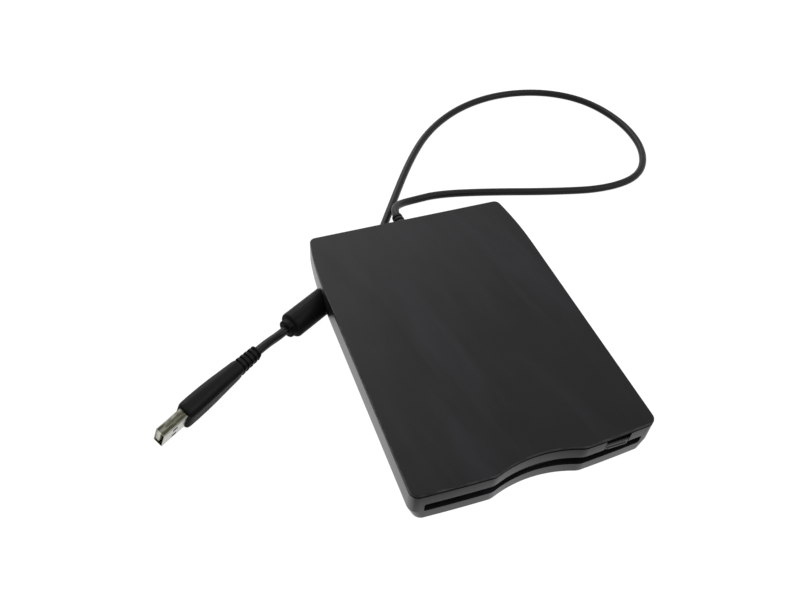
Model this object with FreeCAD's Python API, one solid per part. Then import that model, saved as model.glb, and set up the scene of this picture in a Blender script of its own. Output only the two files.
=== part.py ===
import FreeCAD, Part

import math
import os

V = FreeCAD.Vector

# All sizes are in millimetres. +X points right as seen from the front, the disk slot faces -Y
# and +Z points up. The origin lies under the middle of the case, on the surface it stands on.

# Floppy disk that the drive takes
disk_width = 90.0
disk_length = 94.0
disk_thick = 3.3

# Sheet metal and plastic
wall = 1.8
floor_thick = 1.6
lid_thick = 1.3
sheet = 0.6
shield_thick = 0.4

# Gaps beside the disk, from the disk out to the wall of the case
disk_side_gap = 0.4
carrier_side_gap = 0.7
slider_side_gap = 0.5
case_side_gap = 1.8

# Room along the case, from the lips of the slot to the rear wall
lip_depth = 4.6
front_room = 4.4
rear_room = 37.2

# Room up the case, from the surface it stands on to the lid
foot_height = 1.0
chassis_gap = 0.8
rotor_rise = 0.9
hub_thick = 0.5
hub_recess = 0.2
carrier_drop = 1.6
carrier_clearance = 0.25
lever_gap = 0.1
lever_thick = 0.7
rivet_head_thick = 0.3
slider_clearance = 0.15
shield_clearance = 1.1
lid_room = 2.3

# Case
seam_gap = 0.3
side_draft = 2.1
draft_height = 5.5
taper_length = 33.0
side_radius = 177.0
rear_corner = 2.5
front_corner = 3.5
bow_radius = 700.0
scoop_half = 19.0
scoop_depth = 3.4
scoop_corner = 1.2
lid_edge_round = 0.7
skirt_thick = 1.0
skirt_depth = 2.8
skirt_gap = 0.15
skirt_start = 7.2

# Feet
foot_radius = 4.0
foot_recess = 0.4
foot_side_inset = 10.0
foot_front_inset = 25.0
foot_rear_inset = 13.0

# Case screws and bosses
boss_radius = 2.0
boss_front_inset = (4.6, 14.0)
boss_rear_inset = (7.7, 5.8)
boss_joint_rise = 6.4
case_screw_radius = 1.0
case_screw_clearance = 0.15
case_screw_head_radius = 1.65
case_screw_head_depth = 0.9
case_screw_length = 12.0
screw_slot_half = 0.9
screw_slot_width = 0.4
screw_slot_depth = 0.4

# Disk slot, eject notch and dust door
slot_side_gap = 1.6
slot_low_gap = 0.8
slot_high_gap = 0.7
slot_corner = 0.9
notch_inset = 12.3
notch_width = 11.4
button_side_gap = 0.5
button_overlap = 0.5
button_rise = 0.7
button_setback = 0.5
button_front_wall = 2.1
button_round = 0.5
ridge_height = 0.6
ridge_proud = 0.3
door_end_gap = 0.1
door_thick = 1.0
door_lip_gap = 0.3
door_overlap = 0.3
door_axis_rise = 0.8
door_sweep_gap = 0.7
door_barrel_radius = 0.65
door_pin_radius = 0.6
door_pin_length = 1.6
door_block_gap = 0.4
door_block_low = 2.0
door_block_high = 1.6
door_block_length = 3.0
door_spring_wire = 0.12
bearing_gap = 0.05

# Sheet metal frame
chassis_nose_gap = 5.4
chassis_nose_length = 7.5
chassis_step = 4.4
chassis_wall_short = 2.0
chassis_rear_gap = 6.6
shield_setback = 3.5
lane_gap = 1.0

# Disk carrier and eject slider
eject_travel = 4.0
carrier_nose_length = 7.0
rail_width = 1.8
rail_gap = 0.15
head_window_half = 9.5
head_window_length = 20.0
pin_radius = 0.8
pin_slack = 0.1
pin_height = 1.6
pin_front_inset = 10.0
pin_rear_inset = 8.0
pin_end_play = 0.2
slider_overhang = 2.0
slider_bar_width = 17.3
slider_cross_length = 12.0
slider_foot_gap = 0.1
tongue_half = 3.9
spring_inset = 12.3
spring_radius = 1.2
spring_wire = 0.35
spring_setback = 4.0
spring_length = 26.0
spring_window_half = 2.2

# Shutter lever
lever_overlap = 1.5
lever_rear_inset = 4.0
lever_length = 26.0
lever_angle = -25.0
lever_turn = 35.0
lever_width = 4.0
rivet_radius = 1.2
rivet_head_radius = 2.1
tip_radius = 0.8
tip_height = 1.2
tip_gap = 0.4

# Spindle motor
motor_board_half = 28.0
motor_board_corner = 7.0
motor_board_thick = 0.6
motor_opening_gap = 1.5
rotor_radius = 22.0
rotor_low_gap = 0.2
rotor_sheet = 0.3
magnet_thick = 1.4
air_gap = 1.5
stator_hub_radius = 8.0
stator_teeth = 12
stator_gap = 0.15
stator_thick = 0.5
tooth_width = 2.2
shoe_depth = 1.2
coil_width = 3.4
coil_gap = 0.02
coil_height = 0.78
coil_inner_gap = 0.6
coil_outer_gap = 1.6
bearing_radius = 4.0
spigot_radius = 3.0
bearing_top_gap = 0.1
shaft_radius = 1.5
shaft_clearance = 0.03
shaft_rise = 0.9
hub_radius = 12.0
drive_pin_radius = 0.9
drive_pin_offset = 10.0
drive_pin_rise = 0.6

# Head mechanism
track_inset = 7.5
seek_travel = 15.0
head_half = 3.0
head_length = 4.0
head_gap = 0.15
head_thick = 0.85
arm_gap = 0.25
arm_thick = 0.75
arm_half = 5.0
arm_front_gap = 0.1
arm_sweep_gap = 0.4
carriage_setback = 25.5
carriage_length = 10.0
carriage_left_x = -15.0
carriage_right_x = 12.0
carriage_gap = 0.6
carriage_cap = 2.7
rod_radius = 1.2
rod_clearance = 0.05
rod_xs = (-12.0, 9.0)
rod_height = 2.8
rod_end_gap = 0.6
clamp_length = 1.5
clamp_half = 2.2
clamp_cap = 2.0
chassis_edge_gap = 0.2
hinge_inset = 2.0
hinge_pin_radius = 0.6
hinge_barrel_radius = 1.0
ear_half = 7.0
ear_thick = 1.4
ear_cap = 1.2
ear_gap = 0.2
upper_arm_thick = 1.0
screw_x = 18.0
screw_radius = 1.2
screw_pivot_radius = 0.8
stepper_radius = 4.5
stepper_gap = 0.2
stepper_setback = 2.4
stepper_wall = 0.5
stepper_rotor_radius = 2.9
flange_margin = 1.0
tooth_gap = 0.1
tooth_length = 1.4
tooth_height = 1.0

# Boards and what stands on them, as sizes along X, Y and Z
board_thick = 0.8
main_board_rise = 1.0
main_board_side_gap = 3.0
main_board_edge = 3.4
usb_board_gap = 0.6
usb_board_edge = 10.4
usb_board_front = 6.0
usb_board_rear = 4.0
usb_board_side_gap = 2.0
post_radius = 1.7
post_inset = 2.4
controller_size = (10.0, 8.0, 1.4)
controller_front = 9.5
driver_size = (7.0, 5.0, 1.4)
driver_inset = (6.5, 6.8)
bridge_size = (8.0, 8.0, 1.4)
bridge_front = 8.2
bridge_shift = 1.2
memory_size = (5.0, 3.0, 1.2)
memory_rear = 7.9
memory_shift = 1.0
crystal_radius = 1.7
crystal_half = 2.5
crystal_height = 3.2
crystal_inset = 3.5
capacitor_radius = 2.2
capacitor_height = 4.6
capacitor_insets = ((2.8, 12.2), (7.6, 12.2))
usb_capacitor_gap = 0.5
usb_capacitor_rear = 4.0
flat_cable_thick = 0.2
flat_cable_width = 6.4
flat_cable_drop = 0.5
flat_cable_left_inset = 6.0
flat_cable_right_inset = 2.6
cable_socket_low = 1.2
cable_socket_high = 1.4
cable_socket_end = 1.0
cable_socket_height = 2.4
wire_socket_width = 5.0
wire_socket_half = 2.2
wire_socket_height = 3.4
wire_radius = 0.35
wire_pitch = 0.8
wire_bend = 2.5
wire_count = 4

# Small screws that hold the frame, the motor and the boards
frame_screw_radius = 0.8
frame_screw_head_radius = 1.5
frame_screw_head = 0.6
frame_screw_length = 1.8
frame_pad_radius = 2.7
frame_screw_front = (25.0, 3.5)
frame_screw_rear = (9.9, 1.0)
motor_screw_gap = 4.2
motor_screw_angles = (60.0, 180.0, 300.0)

# Disk switches
switch_insets = {"write_protect_pin": 3.5, "density_pin": 3.5, "disk_present_pin": 10.5}
switch_setback = 4.0
switch_half = 2.0
switch_height = 1.0
plunger_radius = 0.8
plunger_length = 2.15
plunger_gap = 0.05

# Cord, strain relief and bead
cord_diameter = 4.0
# Share of the shorter run that each corner's arc takes, and of the tail that each end run takes
run_share = 0.45
tail_share = 0.3
relief_z = 9.0
relief_length = 12.0
relief_root_radius = 3.2
relief_end_radius = 2.6
relief_neck_radius = 2.9
relief_flange_radius = 4.2
relief_flange_thick = 1.2
relief_ring_count = 4
relief_ring_pitch = 2.4
relief_ring_width = 0.9
relief_ring_depth = 0.5
groove_width = 5.6
groove_high_z = 5.0
groove_shell = 1.2
pocket_y = (35.3, 45.8)
pocket_inner_x = -47.5
pocket_high_z = 9.2
bead_radius = 6.0
bead_inner = (-56.2, 39.0)
bead_outer = (-69.4, 31.44)
bead_collar_radius = 4.2
bead_collar_length = 2.6
bead_round = 1.4
bead_reach = 10.0
bead_case_gap = 0.4
bead_bore_gap = 0.05

# Plug, measured back from its open end along its own axis
plug_tip = (-132.0, -9.8, 8.75)
plug_yaw = 33.2
plug_lean = 20.8
shell_width = 12.0
shell_height = 4.5
shell_sheet = 0.3
shell_corner = 0.65
shell_length = 12.0
shell_hidden = 6.0
shell_hole_start = 4.6
shell_hole_length = 2.4
shell_hole_half = 1.1
tongue_thick = 1.8
tongue_setback = 0.7
contact_thick = 0.15
contact_width = 1.0
contact_pitch = 2.3
contact_length = 8.6
# Overmould sections: distance from the open end, width, height, corner radius
overmould_sections = (
    (12.0, 14.6, 6.6, 1.6),
    (13.6, 16.0, 7.8, 2.0),
    (29.0, 15.6, 7.4, 2.0),
    (42.0, 10.6, 6.4, 1.8),
)
rib_start_width = 10.0
rib_start_height = 6.0
rib_end = 53.5
rib_count = 5
rib_setback = 0.5
rib_groove = 0.9
rib_groove_depth = 0.7
rib_end_width = 7.2
rib_end_height = 5.6

# Sides of the case, outwards from the disk
carrier_half = disk_width / 2 + disk_side_gap + sheet
slider_half = carrier_half + carrier_side_gap + sheet
chassis_half = slider_half + slider_side_gap + sheet
half_width = chassis_half + case_side_gap + wall
case_width = 2 * half_width
slot_half = disk_width / 2 + slot_side_gap
door_half = slot_half - door_end_gap
notch_x = slot_half - notch_inset
chassis_nose_half = chassis_half - chassis_step
slider_bar_inner = slider_half - slider_bar_width
lever_x = -(head_window_half + lever_length - lever_overlap)
spring_x = slider_half - spring_inset

# Heights, upwards from the surface
base_low = foot_height
base_floor = base_low + floor_thick
chassis_z = base_floor + chassis_gap
floor_sheet_top = chassis_z + sheet
motor_board_z = chassis_z - motor_board_thick
rotor_low_z = chassis_z + rotor_low_gap
rotor_top_z = floor_sheet_top + rotor_rise
hub_top_z = rotor_top_z + hub_thick
shaft_top_z = hub_top_z + shaft_rise
drive_pin_top_z = hub_top_z + drive_pin_rise
disk_entry_z = hub_top_z - hub_recess + carrier_drop
disk_entry_top = disk_entry_z + disk_thick
slot_low = disk_entry_z - slot_low_gap
slot_high = disk_entry_top + slot_high_gap
carrier_plate_z = disk_entry_top + carrier_clearance
carrier_plate_top = carrier_plate_z + sheet
lever_top_z = carrier_plate_top + lever_gap + lever_thick
slider_z = lever_top_z + lever_gap + rivet_head_thick + slider_clearance
slider_top = slider_z + sheet
chassis_top_z = slider_top + shield_clearance
lid_low = chassis_top_z + shield_thick + lid_room
case_height = lid_low + lid_thick
base_top = lid_low - seam_gap
draft_top = base_low + draft_height
boss_joint_z = base_floor + boss_joint_rise
pin_z = disk_entry_z + pin_height
tip_low_z = disk_entry_z + tip_height
door_low = slot_low - door_overlap
door_axis_z = slot_high + door_axis_rise
button_low = slot_high - button_overlap
button_high = slider_top + button_rise
media_z = disk_entry_z - carrier_drop + disk_thick / 2
lower_head_z = media_z - head_gap
arm_low_z = floor_sheet_top + arm_gap
upper_head_low_z = disk_entry_top + carrier_clearance
upper_arm_low_z = upper_head_low_z + head_thick
hinge_z = upper_arm_low_z + upper_arm_thick / 2
carriage_low_z = floor_sheet_top + carriage_gap
rod_z = floor_sheet_top + rod_height
carriage_top_z = rod_z + carriage_cap
clamp_top_z = rod_z + clamp_cap
screw_z = floor_sheet_top + stepper_radius + stepper_gap
main_board_z = floor_sheet_top + main_board_rise
usb_board_z = groove_high_z + groove_shell + usb_board_gap
plunger_low_z = floor_sheet_top + bearing_gap
flat_cable_z = chassis_top_z - flat_cable_drop

# Places along the case, from the slot to the rear wall
case_depth = lip_depth + front_room + disk_length + rear_room + wall
half_depth = case_depth / 2
lip_y = -half_depth + lip_depth
disk_front_y = lip_y + front_room
disk_rear_y = disk_front_y + disk_length
spindle_y = (disk_front_y + disk_rear_y) / 2
taper_start_y = half_depth - taper_length
door_axis_y = lip_y + door_lip_gap + door_thick / 2
carrier_front_y = door_axis_y + door_axis_z - door_low + door_sweep_gap
carrier_side_front_y = carrier_front_y + carrier_nose_length
chassis_nose_y = lip_y + chassis_nose_gap
chassis_front_y = chassis_nose_y + chassis_nose_length
chassis_wall_rear_y = disk_rear_y - chassis_wall_short
chassis_rear_y = half_depth - wall - chassis_rear_gap
shield_front_y = chassis_front_y + shield_setback
head_y = disk_rear_y - track_inset
arm_front_y = head_y - head_length / 2 - arm_front_gap
carrier_rear_y = arm_front_y - arm_sweep_gap
head_window_y = carrier_rear_y - head_window_length
pin_ys = (carrier_side_front_y + pin_front_inset, carrier_rear_y - pin_rear_inset)
slider_front_y = shield_front_y
slider_rear_y = carrier_rear_y + slider_overhang
slider_cross_y = slider_front_y + slider_cross_length
spring_front_y = slider_cross_y + spring_setback
spring_rear_y = spring_front_y + spring_length
button_front_y = -half_depth + button_setback
tongue_front_y = button_front_y + button_front_wall
lever_y = carrier_rear_y - lever_rear_inset
carriage_front_y = head_y + carriage_setback
carriage_rear_y = carriage_front_y + carriage_length
hinge_y = carriage_rear_y - hinge_inset
rod_front_y = carriage_front_y - seek_travel - rod_end_gap - clamp_length
rod_rear_y = chassis_rear_y - chassis_edge_gap
screw_front_y = rod_front_y + tooth_gap
stepper_front_y = carriage_front_y + stepper_setback
stepper_rear_y = chassis_rear_y - rod_end_gap
switch_y = chassis_nose_y + switch_setback
relief_end_y = half_depth + relief_length
stator_radius = rotor_radius - rotor_sheet - magnet_thick - air_gap
motor_opening_radius = rotor_radius + motor_opening_gap
motor_screw_radius_at = rotor_radius + motor_screw_gap

# Bosses, boards and screws, as places in plan
boss_front = (half_width - boss_front_inset[0], -half_depth + boss_front_inset[1])
boss_rear = (half_width - boss_rear_inset[0], half_depth - boss_rear_inset[1])
# Left, right, front and rear edge of each board
main_board = (
    screw_x + stepper_radius + flange_margin + main_board_side_gap,
    chassis_half - main_board_edge,
    chassis_wall_rear_y + main_board_edge,
    chassis_rear_y - flange_margin,
)
usb_board = (
    -chassis_half + usb_board_edge,
    carriage_left_x - usb_board_side_gap,
    chassis_wall_rear_y + usb_board_front,
    half_depth - usb_board_rear,
)
frame_screw_points = (
    (-frame_screw_front[0], chassis_nose_y + frame_screw_front[1]),
    (frame_screw_front[0], chassis_nose_y + frame_screw_front[1]),
    (-chassis_half + frame_screw_rear[0], chassis_wall_rear_y - frame_screw_rear[1]),
    (chassis_half - frame_screw_rear[0], chassis_wall_rear_y - frame_screw_rear[1]),
)
switch_points = {
    "write_protect_pin": -chassis_nose_half + switch_insets["write_protect_pin"],
    "density_pin": chassis_nose_half - switch_insets["density_pin"],
    "disk_present_pin": chassis_nose_half - switch_insets["disk_present_pin"],
}

# Outline of the front edge
scoop_radius = (scoop_half ** 2 + scoop_depth ** 2) / (2 * scoop_depth)
scoop_centre_y = -half_depth + scoop_depth - scoop_radius
bow_centre_y = -half_depth + math.sqrt(bow_radius ** 2 - scoop_half ** 2)

# Free cord from the strain relief, once round behind the case and through the groove
cord_points = [
    (0.0, relief_end_y, relief_z), (0.8, 90.1, 8.3), (7.2, 96.4, 5.0), (16.5, 99.8, 2.5),
    (31.0, 101.1, 2.05), (57.0, 95.4, 2.05), (92.0, 85.3, 2.05), (122.5, 78.8, 2.05),
    (148.0, 83.4, 2.05), (163.2, 103.5, 2.05), (166.3, 130.5, 2.05), (157.0, 158.0, 2.05),
    (136.0, 174.8, 2.05), (107.0, 180.6, 2.05), (77.0, 174.6, 2.05), (49.0, 157.6, 2.05),
    (26.8, 133.0, 2.05), (0.3, 94.6, 2.05), (-16.6, 69.6, 2.05), (-31.0, 56.2, 2.05),
    (-41.0, 47.9, 2.5), (-48.74, 43.27, 6.0), (-53.94, 40.29, 6.0),
]
# Points of the cord that the groove and its raised end follow
groove_points = cord_points[17:22]
exit_points = cord_points[20:23]


def box(x0, x1, y0, y1, z0, z1):
    """Block between two corners."""
    return Part.makeBox(x1 - x0, y1 - y0, z1 - z0, V(x0, y0, z0))


def rod_along_z(radius, z0, z1, x=0.0, y=0.0):
    return Part.makeCylinder(radius, z1 - z0, V(x, y, z0))


def rod_along_y(radius, y0, y1, x, z):
    return Part.makeCylinder(radius, y1 - y0, V(x, y0, z), V(0, 1, 0))


def rod_along_x(radius, x0, x1, y, z):
    return Part.makeCylinder(radius, x1 - x0, V(x0, y, z), V(1, 0, 0))


def joined(shapes):
    """One solid out of overlapping or touching ones."""
    first = shapes[0]
    if len(shapes) == 1:
        return first
    return first.fuse(shapes[1:]).removeSplitter()


def group(shapes):
    """Separate solids kept side by side in one node."""
    return Part.makeCompound(shapes)


def both_sides(shape):
    """The shape and its mirror image across the middle plane."""
    return [shape, shape.mirror(V(0, 0, 0), V(1, 0, 0))]


def arc(a, middle, b):
    return Part.Arc(a, middle, b).toShape()


def line(a, b):
    return Part.LineSegment(a, b).toShape()


def bow_y(x):
    """Bowed front edge of the case."""
    return bow_centre_y - math.sqrt(bow_radius ** 2 - x ** 2)


def scoop_y(x):
    """Finger scoop in the middle of the front edge."""
    return scoop_centre_y + math.sqrt(scoop_radius ** 2 - x ** 2)


def side_x(y, inset):
    """Half width at a depth: straight, then drawn in towards the rear."""
    if y <= taper_start_y:
        return half_width - inset
    radius = side_radius - inset
    return half_width - side_radius + math.sqrt(radius ** 2 - (y - taper_start_y) ** 2)


def corner_arc(a, corner, b, z):
    """Rounded corner from point a to point b, bulging towards the sharp corner."""
    share = 1 - math.sqrt(0.5)
    mid_x = corner[0] + share * (a[0] + b[0] - 2 * corner[0])
    mid_y = corner[1] + share * (a[1] + b[1] - 2 * corner[1])
    return arc(V(a[0], a[1], z), V(mid_x, mid_y, z), V(b[0], b[1], z))


def outline(inset, z):
    """Plan outline of the case. The inset draws in the sides and the rear, not the front."""
    rear_y = half_depth - inset
    rear_x = side_x(rear_y, inset)
    flank_x = half_width - inset
    scoop_end = scoop_half - scoop_corner
    bow_start = scoop_half + scoop_corner
    bow_end = flank_x - front_corner
    flank_start = bow_y(flank_x) + front_corner
    flank_end = rear_y - rear_corner
    edges = []
    middle = V(0, scoop_y(0), z)
    for side in (1, -1):
        inner = (side * scoop_end, scoop_y(scoop_end))
        outer = (side * bow_start, bow_y(bow_start))
        bow_tip = (side * bow_end, bow_y(bow_end))
        flank = (side * flank_x, flank_start)
        taper = (side * flank_x, taper_start_y)
        taper_end = (side * side_x(flank_end, inset), flank_end)
        rear = (side * (rear_x - rear_corner), rear_y)
        half_scoop = scoop_end / 2
        half_bow = (bow_start + bow_end) / 2
        half_taper = (taper_start_y + flank_end) / 2
        edges.append(arc(middle, V(side * half_scoop, scoop_y(half_scoop), z), V(*inner, z)))
        edges.append(corner_arc(inner, (side * scoop_half, -half_depth), outer, z))
        edges.append(arc(V(*outer, z), V(side * half_bow, bow_y(half_bow), z), V(*bow_tip, z)))
        edges.append(corner_arc(bow_tip, (side * flank_x, bow_y(flank_x)), flank, z))
        edges.append(line(V(*flank, z), V(*taper, z)))
        bulge = V(side * side_x(half_taper, inset), half_taper, z)
        edges.append(arc(V(*taper, z), bulge, V(*taper_end, z)))
        edges.append(corner_arc(taper_end, (side * rear_x, rear_y), rear, z))
    edges.append(line(V(rear_x - rear_corner, rear_y, z), V(-rear_x + rear_corner, rear_y, z)))
    return Part.Wire(Part.__sortEdges__(edges))


def prism(inset, z0, z1):
    """Straight block with the plan outline of the case."""
    return Part.Face(outline(inset, z0)).extrude(V(0, 0, z1 - z0))


def draft_at(z):
    """How far the lower part of the sides is drawn in at a height."""
    return side_draft * (1 - (z - base_low) / draft_height)


def cord_lane(width, z0, z1, followed):
    """Band of a given width that follows the given points of the cord."""
    plan = [V(x, y, z0) for x, y, _ in followed]
    pieces = []
    for start, end in zip(plan[:-1], plan[1:]):
        run = end - start
        block = box(0, run.Length, -width / 2, width / 2, 0, z1 - z0)
        turn = math.degrees(math.atan2(run.y, run.x))
        block.Placement = FreeCAD.Placement(start, FreeCAD.Rotation(V(0, 0, 1), turn))
        pieces.append(block)
        pieces.append(rod_along_z(width / 2, z0, z1, end.x, end.y))
    return joined(pieces)


def boss_points():
    points = []
    for x, y in (boss_front, boss_rear):
        points.append((x, y))
        points.append((-x, y))
    return points


def foot_points():
    x = half_width - foot_side_inset
    ys = (-half_depth + foot_front_inset, half_depth - foot_rear_inset)
    return [(side * x, y) for y in ys for side in (1, -1)]


def usb_posts_on_chassis():
    x0, x1, y0, _ = usb_board
    return [(x0 + post_inset, y0 + post_inset), (x1 - post_inset, y0 + post_inset)]


def usb_post_on_base():
    x0, _, _, y1 = usb_board
    return (x0 + post_inset, y1 - 3 * post_inset)


def main_board_posts():
    x0, x1, y0, y1 = main_board
    xs = (x0 + post_inset, x1 - post_inset)
    ys = (y0 + post_inset, y1 - post_inset)
    return [(x, y) for x in xs for y in ys]


def base_envelope():
    """Outside of the lower casing, with its sides drawn in below."""
    lower = Part.makeLoft([outline(side_draft, base_low), outline(0, draft_top)], True, True)
    upper = prism(0, draft_top, base_top)
    return joined([lower, upper])


def base_cavity():
    """Room inside the lower casing, behind the lips of the slot."""
    low_wire = outline(draft_at(base_floor) + wall, base_floor)
    lower = Part.makeLoft([low_wire, outline(wall, draft_top)], True, True)
    upper = prism(wall, draft_top, base_top + 1)
    room = joined([lower, upper])
    keep = box(-case_width, case_width, lip_y, case_depth, 0, case_height * 2)
    return room.common(keep)


def slot_cutter():
    """Disk slot through both lips, with rounded ends."""
    block = box(-slot_half, slot_half, -case_depth, lip_y + wall, slot_low, slot_high)
    edges = [e for e in block.Edges if e.Length > lip_depth and is_slot_end(e)]
    return block.makeFillet(slot_corner, edges)


def is_slot_end(edge):
    """Whether an edge of the slot's block runs front to back."""
    first, last = edge.Vertexes[0].Point, edge.Vertexes[-1].Point
    return abs(first.x - last.x) < 1e-6 and abs(first.z - last.z) < 1e-6


def door_bearings():
    """Two blocks at the ends of the slot that carry the pins of the dust door."""
    block = box(door_half + door_block_gap, half_width - wall / 2, lip_y - wall / 2,
                lip_y + door_block_length, door_axis_z - door_block_low,
                door_axis_z + door_block_high)
    radius = door_pin_radius + bearing_gap
    hole_end = door_half + door_pin_length + door_block_gap
    hole = rod_along_x(radius, door_half, hole_end, door_axis_y, door_axis_z)
    return both_sides(block), both_sides(hole)


def base_cover():
    envelope = base_envelope()
    shell = envelope.cut(base_cavity())
    lane = groove_width + 2 * groove_shell
    added = [cord_lane(lane, base_low, groove_high_z + groove_shell, groove_points)]
    added.append(cord_lane(lane, base_low, pocket_high_z + groove_shell, exit_points))
    pocket_block = box(-half_width, pocket_inner_x + groove_shell, pocket_y[0] - groove_shell,
                       pocket_y[1] + groove_shell, base_low, pocket_high_z + groove_shell)
    added.append(pocket_block)
    for x, y in boss_points():
        added.append(rod_along_z(boss_radius, base_low, boss_joint_z, x, y))
    for x, y in frame_screw_points:
        added.append(rod_along_z(frame_pad_radius, base_low, chassis_z, x, y))
    x, y = usb_post_on_base()
    added.append(rod_along_z(post_radius, base_low, usb_board_z, x, y))
    blocks, holes = door_bearings()
    added += blocks
    body = joined([shell] + [piece.common(envelope) for piece in added])
    cuts = [slot_cutter()]
    cuts.append(box(notch_x - notch_width / 2, notch_x + notch_width / 2, -case_depth,
                    lip_y + wall, (slot_low + slot_high) / 2, base_top + 1))
    cuts.append(cord_lane(groove_width, -1, groove_high_z, groove_points))
    cuts.append(cord_lane(groove_width, -1, pocket_high_z, exit_points))
    cuts.append(box(-case_width, pocket_inner_x, pocket_y[0], pocket_y[1], -1, pocket_high_z))
    cuts.append(rod_along_y(relief_neck_radius, half_depth - 2 * wall, case_depth, 0, relief_z))
    for x, y in boss_points():
        cuts.append(rod_along_z(case_screw_radius + case_screw_clearance, 0, boss_joint_z + 1, x, y))
        recess_top = base_low + case_screw_head_depth
        cuts.append(rod_along_z(case_screw_head_radius + case_screw_clearance, 0, recess_top, x, y))
    for x, y in foot_points():
        cuts.append(rod_along_z(foot_radius, 0, base_low + foot_recess, x, y))
    for x, y in frame_screw_points:
        tip = floor_sheet_top - frame_screw_length
        cuts.append(rod_along_z(frame_screw_radius, tip, chassis_z + 1, x, y))
    x, y = usb_post_on_base()
    cuts.append(rod_along_z(frame_screw_radius, usb_board_z + board_thick - frame_screw_length,
                            usb_board_z + 1, x, y))
    return body.cut(cuts + holes)


def top_cover():
    plate = prism(0, lid_low, case_height)
    rim = [e for e in plate.Edges if min(v.Point.z for v in e.Vertexes) > case_height - 1e-6]
    plate = plate.makeFillet(lid_edge_round, rim)
    outer = prism(wall + skirt_gap, lid_low - skirt_depth, lid_low)
    inner = prism(wall + skirt_gap + skirt_thick, lid_low - skirt_depth, lid_low)
    front_y = lip_y + skirt_start
    keep = box(-case_width, case_width, front_y, case_depth, 0, case_height)
    skirt = outer.cut(inner).common(keep)
    bosses = [rod_along_z(boss_radius, boss_joint_z, lid_low, x, y) for x, y in boss_points()]
    holes = [rod_along_z(case_screw_radius, boss_joint_z - 1, base_low + case_screw_length, x, y)
             for x, y in boss_points()]
    return joined([plate, skirt] + bosses).cut(holes)


def rubber_feet():
    top = base_low + foot_recess
    return group([rod_along_z(foot_radius, 0, top, x, y) for x, y in foot_points()])


def case_screws():
    screws = []
    for x, y in boss_points():
        head_top = base_low + case_screw_head_depth
        head_low = base_low + bearing_gap
        head = rod_along_z(case_screw_head_radius, head_low, head_top, x, y)
        shank = rod_along_z(case_screw_radius, head_top, base_low + case_screw_length, x, y)
        reach = screw_slot_half
        half = screw_slot_width / 2
        slot_top = head_low + screw_slot_depth
        socket = box(x - reach, x + reach, y - half, y + half, 0, slot_top)
        socket_cross = box(x - half, x + half, y - reach, y + reach, 0, slot_top)
        screws.append(joined([head, shank]).cut([socket, socket_cross]))
    return group(screws)


def dust_door():
    low_y = door_axis_y - door_thick / 2
    flap = box(-door_half, door_half, low_y, low_y + door_thick, door_low, door_axis_z)
    barrel = rod_along_x(door_barrel_radius, -door_half, door_half, door_axis_y, door_axis_z)
    reach = door_half + door_pin_length
    pins = rod_along_x(door_pin_radius, -reach, reach, door_axis_y, door_axis_z)
    return joined([flap, barrel, pins])


def door_spring():
    """Torsion spring round the left pin of the door, drawn as the sleeve that its coils fill."""
    bore = door_pin_radius + bearing_gap
    start = -door_half - door_block_gap + bearing_gap
    end = -door_half - bearing_gap
    outer = rod_along_x(bore + door_spring_wire, start, end, door_axis_y, door_axis_z)
    inner = rod_along_x(bore, start - 1, end + 1, door_axis_y, door_axis_z)
    return outer.cut(inner)


def eject_button():
    low_x = notch_x - notch_width / 2 + button_side_gap
    high_x = notch_x + notch_width / 2 - button_side_gap
    back_y = lip_y - 2 * bearing_gap
    cap = box(low_x, high_x, button_front_y, back_y, button_low, button_high)
    edges = [e for e in cap.Edges if max(v.Point.y for v in e.Vertexes) < button_front_y + 1e-6]
    cap = cap.makeFillet(button_round, edges)
    ridge_low = button_low + button_round
    ridge = box(low_x + 2 * button_round, high_x - 2 * button_round,
                button_front_y - ridge_proud, button_front_y + 1, ridge_low,
                ridge_low + ridge_height)
    sleeve = box(notch_x - tongue_half, notch_x + tongue_half, back_y, chassis_nose_y, slider_top,
                 button_high)
    pocket = box(notch_x - tongue_half - bearing_gap, notch_x + tongue_half + bearing_gap,
                 tongue_front_y, back_y + 1, slider_z - bearing_gap, slider_top)
    return joined([cap, ridge, sleeve]).cut(pocket)


def chassis():
    floor = box(-chassis_half, chassis_half, chassis_front_y, chassis_wall_rear_y, chassis_z,
                floor_sheet_top)
    middle = box(-chassis_nose_half, chassis_nose_half, chassis_nose_y, chassis_rear_y,
                 chassis_z, floor_sheet_top)
    side = box(chassis_half - sheet, chassis_half, chassis_front_y, chassis_wall_rear_y,
               chassis_z, chassis_top_z)
    posts = [rod_along_z(post_radius, floor_sheet_top, main_board_z, x, y)
             for x, y in main_board_posts()]
    posts += [rod_along_z(post_radius, floor_sheet_top, usb_board_z, x, y)
              for x, y in usb_posts_on_chassis()]
    body = joined([floor, middle] + both_sides(side) + posts)
    cuts = [rod_along_z(motor_opening_radius, 0, case_height, 0, spindle_y)]
    cuts.append(chassis_corner())
    for y in pin_ys:
        cuts.append(pin_slot(chassis_half - 2 * sheet, chassis_half + sheet, y, 0))
        cuts.append(pin_slot(-chassis_half - sheet, -chassis_half + 2 * sheet, y, 0))
    for x, y in frame_screw_points:
        cuts.append(rod_along_z(frame_screw_radius, 0, case_height, x, y))
    for x, y in motor_screw_points():
        cuts.append(rod_along_z(frame_screw_radius, 0, case_height, x, y))
    for x, y in main_board_posts() + usb_posts_on_chassis():
        cuts.append(rod_along_z(frame_screw_radius, 0, case_height, x, y))
    for x in switch_points.values():
        cuts.append(rod_along_z(plunger_radius + plunger_gap, 0, case_height, x, switch_y))
    return body.cut(cuts)


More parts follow.
